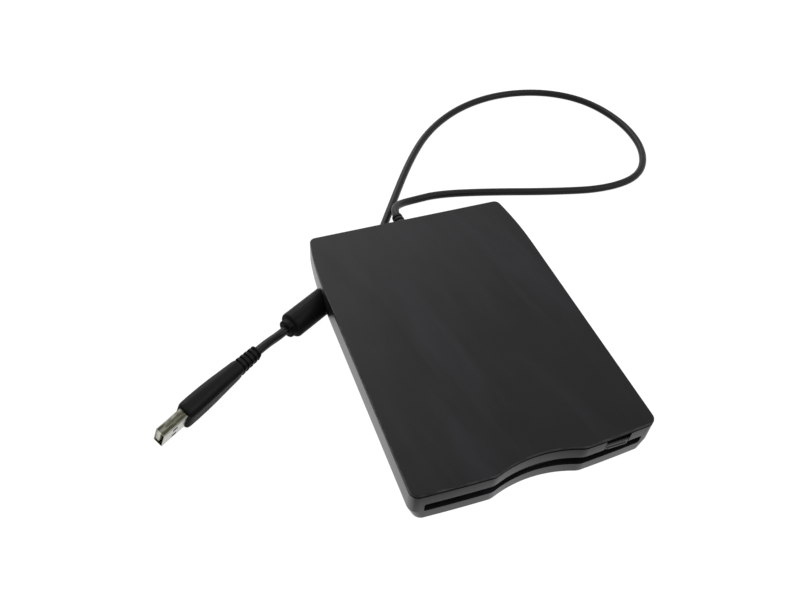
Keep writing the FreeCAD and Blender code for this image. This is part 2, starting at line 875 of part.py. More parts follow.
def chassis_corner():
    """Region of the floor that is left open round the cord lane, out to the rear left corner."""
    wide = groove_width + 2 * groove_shell + 2 * lane_gap
    lane = cord_lane(wide, 0, case_height, groove_points)
    first = groove_points[0]
    last = groove_points[-1]
    plan = [V(x, y, 0) for x, y, _ in groove_points]
    plan += [V(-half_width, last[1], 0), V(-half_width, first[1], 0)]
    outside = Part.Face(Part.makePolygon(plan + [plan[0]])).extrude(V(0, 0, case_height))
    return lane.fuse(outside)


def pin_slot(x0, x1, y, advance):
    """Slot that a guide pin runs down as the slider comes forward by the given travel."""
    radius = pin_radius + pin_slack
    top = V(x0, y, pin_z)
    low = V(x0, y + advance, pin_z - carrier_drop)
    run = low - top
    across = V(0, -run.z, run.y).normalize() * radius
    corners = [top + across, low + across, low - across, top - across]
    band = Part.Face(Part.makePolygon(corners + [corners[0]])).extrude(V(x1 - x0, 0, 0))
    ends = [rod_along_x(radius, x0, x1, p.y, p.z) for p in (top, low)]
    return joined([band] + ends)


def top_shield():
    plate = box(-chassis_half, chassis_half, shield_front_y, chassis_wall_rear_y, chassis_top_z,
                chassis_top_z + shield_thick)
    hook_y = spring_front_y
    hook = box(spring_x - spring_radius, spring_x + spring_radius, hook_y - sheet, hook_y,
               slider_z - sheet, chassis_top_z)
    return joined([plate] + both_sides(hook))


def disk_carrier():
    plate = box(-carrier_half, carrier_half, carrier_front_y, carrier_rear_y, carrier_plate_z,
                carrier_plate_top)
    rail_top = disk_entry_z - rail_gap
    side = box(carrier_half - sheet, carrier_half, carrier_side_front_y, carrier_rear_y,
               rail_top - sheet, carrier_plate_z)
    rail = box(carrier_half - sheet - rail_width, carrier_half - sheet,
               carrier_side_front_y + 2 * rail_width, carrier_rear_y, rail_top - sheet, rail_top)
    corner_relief = box(carrier_half - 2 * rail_width, carrier_half + 1, carrier_front_y - 1,
                        carrier_side_front_y, 0, case_height)
    window = box(-head_window_half, head_window_half, head_window_y, carrier_rear_y + 1, 0,
                 case_height)
    body = joined([plate] + both_sides(side) + both_sides(rail))
    cuts = both_sides(corner_relief) + [window, lever_tip_slot()]
    return body.cut(cuts)


def lever_tip_slot():
    """Curved slot in the carrier that the tip of the shutter lever sweeps."""
    wide = tip_radius + tip_gap
    margin = math.degrees(wide / lever_length) + 1
    sweep = lever_turn + 2 * margin
    outer = Part.makeCylinder(lever_length + wide, case_height, V(lever_x, lever_y, 0),
                              V(0, 0, 1), sweep)
    inner = rod_along_z(lever_length - wide, -1, case_height + 1, lever_x, lever_y)
    slot = outer.cut(inner)
    slot.rotate(V(lever_x, lever_y, 0), V(0, 0, 1), lever_angle - margin)
    return slot


def guide_pins():
    pins = []
    for y in pin_ys:
        pin = rod_along_x(pin_radius, carrier_half, chassis_half + pin_end_play, y, pin_z)
        pins += both_sides(pin)
    return group(pins)


def eject_slider():
    cross = box(-slider_half, slider_half, slider_front_y, slider_cross_y, slider_z, slider_top)
    bar = box(slider_bar_inner, slider_half, slider_cross_y, slider_rear_y, slider_z, slider_top)
    flange = box(slider_half - sheet, slider_half, slider_front_y, slider_rear_y,
                 floor_sheet_top + slider_foot_gap, slider_top)
    tongue = box(notch_x - tongue_half, notch_x + tongue_half, tongue_front_y, slider_front_y,
                 slider_z, slider_top)
    body = joined([cross, tongue] + both_sides(bar) + both_sides(flange))
    window = box(spring_x - spring_window_half, spring_x + spring_window_half,
                 spring_front_y - eject_travel, spring_rear_y, slider_z - 1, slider_top + 1)
    cuts = both_sides(window)
    for y in pin_ys:
        cuts.append(pin_slot(slider_half - 2 * sheet, slider_half + sheet, y, eject_travel))
        cuts.append(pin_slot(-slider_half - sheet, -slider_half + 2 * sheet, y, eject_travel))
    return body.cut(cuts)


def eject_springs():
    """Two tension springs, each drawn as the sleeve that its coils fill."""
    centre_z = slider_z + sheet / 2
    outer = rod_along_y(spring_radius, spring_front_y, spring_rear_y, spring_x, centre_z)
    bore = spring_radius - spring_wire
    inner = rod_along_y(bore, spring_front_y - 1, spring_rear_y + 1, spring_x, centre_z)
    return group(both_sides(outer.cut(inner)))


def shutter_lever():
    z0 = carrier_plate_top + lever_gap
    z1 = z0 + lever_thick
    eye = rod_along_z(lever_width / 2, z0, z1)
    arm = box(0, lever_length, -lever_width / 4, lever_width / 4, z0, z1)
    end = rod_along_z(lever_width / 4, z0, z1, lever_length, 0)
    tail = box(-lever_width, 0, -lever_width / 4, lever_width / 4, z0, z1)
    tip = rod_along_z(tip_radius, tip_low_z, z1, lever_length, 0)
    hole = rod_along_z(rivet_radius + bearing_gap, z0 - 1, z1 + 1)
    lever = joined([eye, arm, end, tail, tip]).cut(hole)
    lever.rotate(V(0, 0, 0), V(0, 0, 1), lever_angle)
    lever.translate(V(lever_x, lever_y, 0))
    return lever


def lever_rivet():
    lever_top = carrier_plate_top + lever_gap + lever_thick
    post = rod_along_z(rivet_radius, carrier_plate_top, lever_top + lever_gap, lever_x, lever_y)
    head = rod_along_z(rivet_head_radius, lever_top + lever_gap,
                       lever_top + lever_gap + rivet_head_thick, lever_x, lever_y)
    return joined([post, head])


def motor_screw_points():
    points = []
    for angle in motor_screw_angles:
        a = math.radians(angle)
        points.append((motor_screw_radius_at * math.cos(a),
                       spindle_y + motor_screw_radius_at * math.sin(a)))
    return points


def motor_board():
    plate = box(-motor_board_half, motor_board_half, spindle_y - motor_board_half,
                spindle_y + motor_board_half, motor_board_z, chassis_z)
    corners = [e for e in plate.Edges if abs(e.Vertexes[0].Point.z - e.Vertexes[-1].Point.z) > 0.1]
    plate = plate.makeFillet(motor_board_corner, corners)
    cuts = [rod_along_z(spigot_radius, 0, case_height, 0, spindle_y)]
    for x, y in motor_screw_points():
        cuts.append(rod_along_z(frame_screw_radius, 0, case_height, x, y))
    return plate.cut(cuts)


def spindle_bearing():
    sleeve_top = rotor_top_z - rotor_sheet - bearing_top_gap
    sleeve = rod_along_z(bearing_radius, chassis_z, sleeve_top, 0, spindle_y)
    spigot = rod_along_z(spigot_radius, motor_board_z, chassis_z, 0, spindle_y)
    bore = rod_along_z(shaft_radius + shaft_clearance, 0, case_height, 0, spindle_y)
    return joined([sleeve, spigot]).cut(bore)


def stator_core():
    core_low = chassis_z + stator_gap
    core_top = core_low + stator_thick
    ring = rod_along_z(stator_hub_radius, core_low, core_top, 0, spindle_y)
    parts = [ring]
    for k in range(stator_teeth):
        tooth = box(0, stator_radius, -tooth_width / 2, tooth_width / 2, core_low, core_top)
        shoe = box(stator_radius - shoe_depth, stator_radius, -tooth_width, tooth_width, core_low,
                   core_top)
        piece = joined([tooth, shoe])
        piece.rotate(V(0, 0, 0), V(0, 0, 1), k * 360.0 / stator_teeth)
        piece.translate(V(0, spindle_y, 0))
        parts.append(piece)
    foot = rod_along_z(stator_hub_radius - 1, chassis_z, core_low, 0, spindle_y)
    body = joined(parts + [foot])
    return body.cut(rod_along_z(bearing_radius, 0, case_height, 0, spindle_y))


def stator_coils():
    """One winding round each tooth of the core, drawn as its outer shape."""
    low = chassis_z + coil_gap
    top = low + coil_height
    core_low = chassis_z + stator_gap
    coils = []
    for k in range(stator_teeth):
        inner_x = stator_hub_radius + coil_inner_gap
        outer_x = stator_radius - coil_outer_gap
        outer = box(inner_x, outer_x, -coil_width / 2, coil_width / 2, low, top)
        slot = box(inner_x - 1, outer_x + 1, -tooth_width / 2, tooth_width / 2,
                   core_low, core_low + stator_thick)
        coil = outer.cut(slot)
        coil.rotate(V(0, 0, 0), V(0, 0, 1), k * 360.0 / stator_teeth)
        coil.translate(V(0, spindle_y, 0))
        coils.append(coil)
    return group(coils)


def rotor_cup():
    outer = rod_along_z(rotor_radius, rotor_low_z, rotor_top_z, 0, spindle_y)
    inner = rod_along_z(rotor_radius - rotor_sheet, rotor_low_z - 1, rotor_top_z - rotor_sheet, 0,
                        spindle_y)
    bore = rod_along_z(shaft_radius, 0, case_height, 0, spindle_y)
    return outer.cut([inner, bore])


def rotor_magnet():
    high = rotor_top_z - rotor_sheet
    outer = rod_along_z(rotor_radius - rotor_sheet, rotor_low_z, high, 0, spindle_y)
    inner_radius = rotor_radius - rotor_sheet - magnet_thick
    return outer.cut(rod_along_z(inner_radius, 0, case_height, 0, spindle_y))


def spindle_shaft():
    return rod_along_z(shaft_radius, motor_board_z + bearing_gap, shaft_top_z, 0, spindle_y)


def spindle_hub():
    disc = rod_along_z(hub_radius, rotor_top_z, hub_top_z, 0, spindle_y)
    bore = rod_along_z(shaft_radius, 0, case_height, 0, spindle_y)
    seat = rod_along_z(drive_pin_radius, 0, case_height, drive_pin_offset, spindle_y)
    return disc.cut([bore, seat])


def drive_pin():
    return rod_along_z(drive_pin_radius, rotor_top_z, drive_pin_top_z, drive_pin_offset, spindle_y)


def stepper_can():
    can = rod_along_y(stepper_radius, stepper_front_y, stepper_rear_y, screw_x, screw_z)
    room = rod_along_y(stepper_radius - stepper_wall, stepper_front_y, stepper_rear_y - stepper_wall,
                       screw_x, screw_z)
    reach = stepper_radius + flange_margin
    flange = box(screw_x - reach, screw_x + reach, stepper_front_y - sheet, stepper_front_y,
                 floor_sheet_top, screw_z + stepper_radius)
    bore = rod_along_y(screw_radius + bearing_gap, stepper_front_y - 2, stepper_front_y + 1, screw_x,
                       screw_z)
    return joined([can.cut(room), flange]).cut(bore)


def stepper_rotor():
    front = stepper_front_y + stepper_wall
    return rod_along_y(stepper_rotor_radius, front, stepper_rear_y - 2 * stepper_wall, screw_x,
                       screw_z).cut(rod_along_y(screw_radius, 0, case_depth, screw_x, screw_z))


def lead_screw():
    bearing_front = screw_front_y + clamp_length
    shoulder = bearing_front + 2 * tooth_gap
    thread = rod_along_y(screw_radius, shoulder, stepper_rear_y - 2 * stepper_wall, screw_x,
                         screw_z)
    pivot = rod_along_y(screw_pivot_radius, screw_front_y + 3 * tooth_gap, shoulder, screw_x,
                        screw_z)
    return joined([thread, pivot])


def screw_bearing():
    block = box(screw_x - clamp_half, screw_x + clamp_half, screw_front_y,
                screw_front_y + clamp_length, floor_sheet_top, screw_z + clamp_half)
    hole = rod_along_y(screw_pivot_radius + bearing_gap, screw_front_y + 2 * tooth_gap,
                       screw_front_y + 2 * clamp_length, screw_x, screw_z)
    return block.cut(hole)


def guide_rods():
    return group([rod_along_y(rod_radius, rod_front_y, rod_rear_y, x, rod_z) for x in rod_xs])


def rod_clamps():
    clamps = []
    for x in rod_xs:
        for y0 in (rod_front_y, rod_rear_y - clamp_length):
            block = box(x - clamp_half, x + clamp_half, y0, y0 + clamp_length, floor_sheet_top,
                        clamp_top_z)
            clamps.append(block.cut(rod_along_y(rod_radius, 0, case_depth, x, rod_z)))
    return group(clamps)


def head_carriage():
    block = box(carriage_left_x, carriage_right_x, carriage_front_y, carriage_rear_y,
                carriage_low_z, carriage_top_z)
    arm = box(-arm_half, arm_half, arm_front_y, carriage_front_y + 1, arm_low_z,
              arm_low_z + arm_thick)
    foot = box(-arm_half, arm_half, carriage_front_y, carriage_front_y + 2, arm_low_z,
               carriage_low_z)
    tooth = box(carriage_right_x, screw_x - screw_radius - tooth_gap, carriage_front_y,
                carriage_front_y + tooth_length, screw_z - tooth_height / 2,
                screw_z + tooth_height / 2)
    ear = box(ear_half - ear_thick, ear_half, hinge_y - hinge_inset, carriage_rear_y,
              carriage_top_z, hinge_z + ear_cap)
    body = joined([block, arm, foot, tooth] + both_sides(ear))
    cuts = [rod_along_y(rod_radius + rod_clearance, 0, case_depth, x, rod_z) for x in rod_xs]
    cuts.append(rod_along_x(hinge_pin_radius, -case_width, case_width, hinge_y, hinge_z))
    return body.cut(cuts)


def lower_head():
    low = arm_low_z + arm_thick
    return box(-head_half, head_half, head_y - head_length / 2, head_y + head_length / 2, low,
               lower_head_z)


def upper_head_arm():
    inner = ear_half - ear_thick - ear_gap
    plate = box(-arm_half, arm_half, arm_front_y, hinge_y, upper_arm_low_z,
                upper_arm_low_z + upper_arm_thick)
    barrel = rod_along_x(hinge_barrel_radius, -inner, inner, hinge_y, hinge_z)
    hole = rod_along_x(hinge_pin_radius + bearing_gap, -case_width, case_width, hinge_y, hinge_z)
    return joined([plate, barrel]).cut(hole)


def upper_head():
    return box(-head_half, head_half, head_y - head_length / 2, head_y + head_length / 2,
               upper_head_low_z, upper_arm_low_z)


def arm_pin():
    return rod_along_x(hinge_pin_radius, -ear_half, ear_half, hinge_y, hinge_z)


def main_board_plate():
    x0, x1, y0, y1 = main_board
    plate = box(x0, x1, y0, y1, main_board_z, main_board_z + board_thick)
    return plate.cut([rod_along_z(frame_screw_radius, 0, case_height, x, y)
                      for x, y in main_board_posts()])


def usb_board_plate():
    x0, x1, y0, y1 = usb_board
    plate = box(x0, x1, y0, y1, usb_board_z, usb_board_z + board_thick)
    points = usb_posts_on_chassis() + [usb_post_on_base()]
    return plate.cut([rod_along_z(frame_screw_radius, 0, case_height, x, y) for x, y in points])


def block_on(x, y, size, low):
    """Package of a given size that stands on a board, centred at a place in plan."""
    half_x = size[0] / 2
    half_y = size[1] / 2
    return box(x - half_x, x + half_x, y - half_y, y + half_y, low, low + size[2])


def board_chips():
    """Drive controller, motor driver, interface bridge and memory as flat packages."""
    main_top = main_board_z + board_thick
    usb_top = usb_board_z + board_thick
    main_x = (main_board[0] + main_board[1]) / 2
    usb_x = (usb_board[0] + usb_board[1]) / 2
    return group([
        block_on(main_x, main_board[2] + controller_front, controller_size, main_top),
        block_on(main_board[1] - driver_inset[0], main_board[3] - driver_inset[1], driver_size,
                 main_top),
        block_on(usb_x - bridge_shift, usb_board[2] + bridge_front, bridge_size, usb_top),
        block_on(usb_x - memory_shift, usb_board[3] - memory_rear, memory_size, usb_top),
    ])


def crystal_can():
    low = usb_board_z + board_thick
    high = low + crystal_height
    x = usb_board[0] + crystal_inset
    y = (usb_board[2] + usb_board[3]) / 2 + memory_shift
    body = box(x - crystal_radius, x + crystal_radius, y - crystal_half, y + crystal_half, low, high)
    ends = [rod_along_z(crystal_radius, low, high, x, y + side * crystal_half) for side in (-1, 1)]
    return joined([body] + ends)


def capacitors():
    main_top = main_board_z + board_thick
    usb_top = usb_board_z + board_thick
    places = [(main_board[1] - x, main_board[3] - y, main_top) for x, y in capacitor_insets]
    usb_x = usb_board[1] - wire_socket_width - usb_capacitor_gap - capacitor_radius
    places.append((usb_x, usb_board[3] - usb_capacitor_rear, usb_top))
    return group([rod_along_z(capacitor_radius, z, z + capacitor_height, x, y)
                  for x, y, z in places])


def flat_cable_places():
    """Left and right end of the flat cable, and its front and rear edge."""
    left_x = usb_board[1] - flat_cable_left_inset
    right_x = main_board[0] + flat_cable_right_inset
    return left_x, right_x, carriage_front_y, carriage_front_y + flat_cable_width


def cable_socket_tops():
    usb_top = usb_board_z + board_thick + cable_socket_height
    main_top = main_board_z + board_thick + cable_socket_height
    return usb_top, main_top


def cable_sockets():
    left_x, right_x, y0, y1 = flat_cable_places()
    usb_top, main_top = cable_socket_tops()
    low_y = y0 - cable_socket_end
    high_y = y1 + cable_socket_end
    left = box(left_x - cable_socket_low, left_x + cable_socket_high, low_y, high_y,
               usb_top - cable_socket_height, usb_top)
    right = box(right_x - cable_socket_high, right_x + cable_socket_low, low_y, high_y,
                main_top - cable_socket_height, main_top)
    return group([left, right])


def flat_cable():
    left_x, right_x, y0, y1 = flat_cable_places()
    usb_top, main_top = cable_socket_tops()
    bridge = box(left_x, right_x, y0, y1, flat_cable_z - flat_cable_thick, flat_cable_z)
    left = box(left_x, left_x + flat_cable_thick, y0, y1, usb_top, flat_cable_z)
    right = box(right_x - flat_cable_thick, right_x, y0, y1, main_top, flat_cable_z)
    return joined([bridge, left, right])


def wire_run():
    """Depth of the inner wires' long run, and the depth where they leave the relief."""
    start_y = half_depth - wall - relief_flange_thick
    return start_y - wire_radius - wire_bend, start_y


def wire_socket():
    x1 = usb_board[1]
    top = usb_board_z + board_thick
    run_y, _ = wire_run()
    return box(x1 - wire_socket_width, x1, run_y - wire_socket_half, usb_board[3], top,
               top + wire_socket_height)


def inner_wires():
    run_y, start_y = wire_run()
    bend = wire_bend
    middle_z = usb_board_z + board_thick + wire_socket_height / 2
    wires = []
    for k in range(wire_count):
        z = middle_z + (k - (wire_count - 1) / 2) * wire_pitch
        turn = V(-bend + bend * math.sqrt(0.5), run_y + bend - bend * math.sqrt(0.5), z)
        path = Part.Wire([
            line(V(0, start_y, z), V(0, run_y + bend, z)),
            arc(V(0, run_y + bend, z), turn, V(-bend, run_y, z)),
            line(V(-bend, run_y, z), V(usb_board[1], run_y, z)),
        ])
        wires.append(round_sweep(path, wire_radius))
    return group(wires)


def frame_screws():
    """Small pan head screws of one size: frame, motor board and the two circuit boards."""
    places = [(x, y, floor_sheet_top) for x, y in frame_screw_points]
    places += [(x, y, floor_sheet_top) for x, y in motor_screw_points()]
    places += [(x, y, main_board_z + board_thick) for x, y in main_board_posts()]
    usb_points = usb_posts_on_chassis() + [usb_post_on_base()]
    places += [(x, y, usb_board_z + board_thick) for x, y in usb_points]
    screws = []
    for x, y, seat in places:
        long = frame_screw_length
        if (x, y) in motor_screw_points():
            long = sheet + motor_board_thick
        shank = rod_along_z(frame_screw_radius, seat - long, seat, x, y)
        head = rod_along_z(frame_screw_head_radius, seat, seat + frame_screw_head, x, y)
        screws.append(joined([shank, head]))
    return group(screws)


def switch_housings():
    housings = []
    for x in switch_points.values():
        block = box(x - switch_half, x + switch_half, switch_y - switch_half,
                    switch_y + switch_half, floor_sheet_top, floor_sheet_top + switch_height)
        hole = rod_along_z(plunger_radius + plunger_gap, 0, case_height, x, switch_y)
        housings.append(block.cut(hole))
    return group(housings)


def switch_plunger(x):
    return rod_along_z(plunger_radius, plunger_low_z, plunger_low_z + plunger_length, x, switch_y)


def strain_relief():
    root = Part.makeCone(relief_root_radius, relief_end_radius, relief_end_y - half_depth,
                         V(0, half_depth, relief_z), V(0, 1, 0))
    inner_y = half_depth - wall
    neck = rod_along_y(relief_neck_radius, inner_y, half_depth, 0, relief_z)
    flange = rod_along_y(relief_flange_radius, inner_y - relief_flange_thick, inner_y, 0, relief_z)
    below = box(-relief_flange_radius, relief_flange_radius, 0, half_depth, 0,
                draft_top + bearing_gap)
    body = joined([root, neck, flange.cut(below)])
    first = V(*cord_points[0])
    rings = [Part.makeCylinder(cord_diameter / 2, cord_diameter, first,
                               V(*cord_points[1]) - first)]
    for k in range(relief_ring_count):
        y = half_depth + relief_ring_pitch * (k + 1)
        outer = rod_along_y(relief_root_radius + 1, y, y + relief_ring_width, 0, relief_z)
        kept = relief_end_radius - relief_ring_depth
        rings.append(outer.cut(rod_along_y(kept, y - 1, y + 2, 0, relief_z)))
    return body.cut(rings)


def round_sweep(path, radius):
    """Round section carried along a path of straight runs and tangent arcs."""
    start = path.OrderedVertexes[0].Point
    first = path.OrderedEdges[0]
    direction = first.tangentAt(first.FirstParameter)
    circle = Part.Wire(Part.Circle(start, direction, radius).toShape())
    return path.makePipeShell([circle], True, True)


def cord_tube(points, name):
    """Tube along hand chosen points, each corner rounded as far as its two runs allow."""
    corners = [V(*p) for p in points]
    edges = []
    radii = []
    previous = corners[0]
    for before, corner, after in zip(corners[:-2], corners[1:-1], corners[2:]):
        run_in = (corner - before).normalize()
        run_out = (after - corner).normalize()
        half_turn = run_in.getAngle(run_out) / 2
        reach = run_share * min((corner - before).Length, (after - corner).Length)
        radii.append(reach / math.tan(half_turn))
        start = corner - run_in * reach
        end = corner + run_out * reach
        inward = (run_out - run_in).normalize()
        sag = radii[-1] / math.cos(half_turn) - radii[-1]
        edges.append(line(previous, start))
        edges.append(arc(start, corner + inward * sag, end))
        previous = end
    edges.append(line(previous, corners[-1]))
    path = Part.Wire(edges)
    tube = round_sweep(path, cord_diameter / 2)
    expected = math.pi * cord_diameter ** 2 / 4 * path.Length
    print(name, "length", round(path.Length, 1), "volume share", round(tube.Volume / expected, 4))
    print(name, "radii", [round(r, 1) for r in radii])
    return tube


def bead_axis():
    """Direction of the bead from the case towards the plug, with its length."""
    run = V(*bead_outer, 0) - V(*bead_inner, 0)
    return run.normalize(), (V(*bead_outer, 0) - V(*bead_inner, 0)).Length


def bead_ends():
    """Where the cord ends inside the bead and where it leaves the bead's collar."""
    direction, _ = bead_axis()
    first = V(*bead_inner, bead_radius) - direction * bead_collar_length
    last = V(*bead_outer, bead_radius) + direction * bead_collar_length
    return first, last


def cord_bead():
    """Bead whose inner end runs along the case side, with a collar at its outer end."""
    direction, length = bead_axis()
    first, last = bead_ends()
    start = V(*bead_inner, bead_radius) - direction * bead_reach
    body = Part.makeCylinder(bead_radius, length + bead_reach, start, direction)
    rim = [e for e in body.Edges if is_circle(e) and not e.Curve.Center.isEqual(start, 0.1)]
    body = body.makeFillet(bead_round, rim)
    lower = Part.makeLoft([outline(side_draft - bead_case_gap, base_low),
                           outline(-bead_case_gap, draft_top)], True, True)
    beyond = joined([prism(side_draft - bead_case_gap, -1, base_low), lower,
                     prism(-bead_case_gap, draft_top, case_height)])
    bore_radius = cord_diameter / 2 + bead_bore_gap
    entry = Part.makeCylinder(bore_radius, bead_reach, first, direction * -1)
    collar = Part.makeCylinder(bead_collar_radius, bead_collar_length * 2, last, direction * -1)
    return joined([body.cut([beyond, entry]), collar])


def is_circle(edge):
    return isinstance(edge.Curve, Part.Circle)


def plug_placement():
    """Plug axes: X back along the cord, Z across its width, leaning over by the lean angle."""
    turn = FreeCAD.Rotation(V(0, 0, 1), plug_yaw)
    lean = FreeCAD.Rotation(V(1, 0, 0), plug_lean)
    return FreeCAD.Placement(V(*plug_tip), turn.multiply(lean))


def placed_plug(shape):
    shape.Placement = plug_placement().multiply(shape.Placement)
    return shape


def rounded_section(x, width, height, radius):
    """Rounded rectangle across the plug: height along Y, width along Z."""
    hy = height / 2
    hz = width / 2
    edges = []
    corner_signs = ((1, 1), (-1, 1), (-1, -1), (1, -1))
    share = radius * (1 - math.sqrt(0.5))
    points = []
    for sy, sz in corner_signs:
        a = V(x, sy * hy, sz * (hz - radius))
        b = V(x, sy * (hy - radius), sz * hz)
        middle = V(x, sy * (hy - share), sz * (hz - share))
        if sy * sz < 0:
            a, b = b, a
        points.append((a, middle, b))
    for index, (a, middle, b) in enumerate(points):
        edges.append(arc(a, middle, b))
        edges.append(line(b, points[(index + 1) % 4][0]))
    return Part.Wire(edges)


def plug_overmould():
    grips = []
    for start, end in zip(overmould_sections[:-1], overmould_sections[1:]):
        wires = [rounded_section(*start), rounded_section(*end)]
        grips.append(Part.makeLoft(wires, True, True))
    last = overmould_sections[-1]
    rib_start = last[0]
    relief = Part.makeLoft([rounded_section(rib_start, rib_start_width, rib_start_height, last[3]),
                            rounded_section(rib_end, rib_end_width, rib_end_height, last[3])],
                           True, True)
    pitch = (rib_end - rib_start) / rib_count
    cutters = []
    for k in range(rib_count):
        x = rib_start + k * pitch + rib_setback
        share = (x - rib_start) / (rib_end - rib_start)
        width = rib_start_width + share * (rib_end_width - rib_start_width)
        height = rib_start_height + share * (rib_end_height - rib_start_height)
        ring = box(x, x + rib_groove, -last[2], last[2], -last[1], last[1])
        keep_width = width - 2 * rib_groove_depth
        keep_height = height - 2 * rib_groove_depth
        kept = Part.Face(rounded_section(x - 1, keep_width, keep_height, last[3] / 2))
        cutters.append(ring.cut(kept.extrude(V(rib_groove + 2, 0, 0))))
    relief = relief.cut(cutters)
    body = joined(grips + [relief])
    hidden = shell_length + shell_hidden
    seat = box(0, hidden, -shell_height / 2, shell_height / 2, -shell_width / 2, shell_width / 2)
    return placed_plug(body.cut(seat))


def plug_shell():
    outer = Part.Face(rounded_section(0, shell_width, shell_height, shell_corner))
    inner = Part.Face(rounded_section(0, shell_width - 2 * shell_sheet,
                                      shell_height - 2 * shell_sheet, shell_corner - shell_sheet))
    length = shell_length + shell_hidden
    tube = outer.cut(inner).extrude(V(length, 0, 0))
    holes = []
    for z in (-shell_width / 4, shell_width / 4):
        holes.append(box(shell_hole_start, shell_hole_start + shell_hole_length, -shell_height,
                         shell_height, z - shell_hole_half, z + shell_hole_half))
    return placed_plug(tube.cut(holes))


def plug_tongue():
    """Insulating tongue in one half of the shell, with a core that fills its closed end."""
    inside = shell_height / 2 - shell_sheet
    half = shell_width / 2 - shell_sheet
    tongue = box(tongue_setback, shell_length, inside - tongue_thick, inside, -half, half)
    core = box(shell_length - 1, shell_length + shell_hidden, -inside, inside, -half, half)
    room = Part.Face(rounded_section(0, 2 * half, 2 * inside, shell_corner - shell_sheet))
    room = room.extrude(V(shell_length + shell_hidden, 0, 0))
    return placed_plug(joined([tongue, core]).common(room))


def plug_contacts():
    surface = shell_height / 2 - shell_sheet - tongue_thick
    strips = []
    for k in range(4):
        z = (k - 1.5) * contact_pitch
        strips.append(box(2 * tongue_setback, 2 * tongue_setback + contact_length,
                          surface - contact_thick, surface, z - contact_width / 2,
                          z + contact_width / 2))
    return placed_plug(group(strips))


def tail_points():
    """Short cord between the bead and the plug, level at both ends."""
    _, start = bead_ends()
    direction, _ = bead_axis()
    placement = plug_placement()
    end = placement.multVec(V(rib_end, 0, 0))
    back = placement.Rotation.multVec(V(1, 0, 0))
    run = (end - start).Length * tail_share
    return [tuple(p) for p in (start, start + direction * run, end + back * run, end)]


def export(name, shape):
    if not shape.isValid():
        print("invalid shape", name)
    shape.exportStep(os.path.join("parts", name + ".step"))
    print(name, len(shape.Solids), round(shape.Volume, 2))


def main():
    os.makedirs("parts", exist_ok=True)
    nodes = {
        "top_cover": top_cover, "base_cover": base_cover, "rubber_feet": rubber_feet,
        "case_screws": case_screws, "dust_door": dust_door, "door_spring": door_spring,
        "eject_button": eject_button, "chassis": chassis, "top_shield": top_shield,
        "disk_carrier": disk_carrier, "guide_pins": guide_pins, "eject_slider": eject_slider,
        "eject_springs": eject_springs, "shutter_lever": shutter_lever,
        "lever_rivet": lever_rivet, "frame_screws": frame_screws, "motor_board": motor_board,
        "spindle_bearing": spindle_bearing, "stator_core": stator_core,
        "stator_coils": stator_coils, "rotor_cup": rotor_cup, "rotor_magnet": rotor_magnet,
        "spindle_shaft": spindle_shaft, "spindle_hub": spindle_hub, "drive_pin": drive_pin,
        "stepper_can": stepper_can, "stepper_rotor": stepper_rotor, "lead_screw": lead_screw,
        "screw_bearing": screw_bearing, "guide_rods": guide_rods, "rod_clamps": rod_clamps,
        "head_carriage": head_carriage, "lower_head": lower_head,
        "upper_head_arm": upper_head_arm, "upper_head": upper_head, "arm_pin": arm_pin,
        "main_board": main_board_plate, "usb_board": usb_board_plate,
        "board_chips": board_chips, "crystal_can": crystal_can, "capacitors": capacitors,
        "cable_sockets": cable_sockets, "flat_cable": flat_cable, "wire_socket": wire_socket,
        "inner_wires": inner_wires, "switch_housings": switch_housings,
        "strain_relief": strain_relief, "cord_bead": cord_bead,
        "plug_overmould": plug_overmould, "plug_shell": plug_shell,
        "plug_tongue": plug_tongue, "plug_contacts": plug_contacts,
    }
    for name, make in nodes.items():
        export(name, make())
    for name, x in switch_points.items():
        export(name, switch_plunger(x))
    export("usb_cord_loop", cord_tube(cord_points, "usb_cord_loop"))
    export("usb_cord_tail", cord_tube(tail_points(), "usb_cord_tail"))


main()
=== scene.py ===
import math

import bpy
from mathutils import Matrix, Vector


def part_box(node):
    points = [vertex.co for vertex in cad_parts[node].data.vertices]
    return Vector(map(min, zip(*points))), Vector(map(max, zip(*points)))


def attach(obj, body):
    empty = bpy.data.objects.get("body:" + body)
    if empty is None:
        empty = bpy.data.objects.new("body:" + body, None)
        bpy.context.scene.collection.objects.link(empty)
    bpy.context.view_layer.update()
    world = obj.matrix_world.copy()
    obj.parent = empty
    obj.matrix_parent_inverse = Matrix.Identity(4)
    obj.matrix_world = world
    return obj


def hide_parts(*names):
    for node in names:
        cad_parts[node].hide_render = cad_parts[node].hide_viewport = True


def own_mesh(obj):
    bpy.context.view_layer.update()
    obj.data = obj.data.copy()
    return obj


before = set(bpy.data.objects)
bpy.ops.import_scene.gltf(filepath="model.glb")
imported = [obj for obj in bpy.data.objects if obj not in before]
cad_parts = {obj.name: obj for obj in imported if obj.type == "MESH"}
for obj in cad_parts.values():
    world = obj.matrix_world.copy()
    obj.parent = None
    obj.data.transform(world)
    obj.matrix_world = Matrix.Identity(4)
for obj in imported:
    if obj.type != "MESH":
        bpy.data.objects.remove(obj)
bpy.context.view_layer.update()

MM = 0.001


def mm(x, y, z):
    """Point given in millimetres, in metres."""
    return Vector((x * MM, y * MM, z * MM))


# Camera

camera_data = bpy.data.cameras.new("camera")
camera_data.lens = 34.897
camera_data.sensor_width = 36.0
camera_data.sensor_fit = "HORIZONTAL"
camera_data.clip_start = 0.01
camera = bpy.data.objects.new("camera", camera_data)
camera.location = (-0.11815604, -0.18800171, 0.26692996)
camera.rotation_euler = [math.radians(a) for a in (42.684, -3.547, -20.718)]
bpy.context.scene.collection.objects.link(camera)
bpy.context.scene.camera = camera


# Mesh helpers

def link(name, data):
    piece = bpy.data.objects.new(name, data)
    bpy.context.scene.collection.objects.link(piece)
    return piece


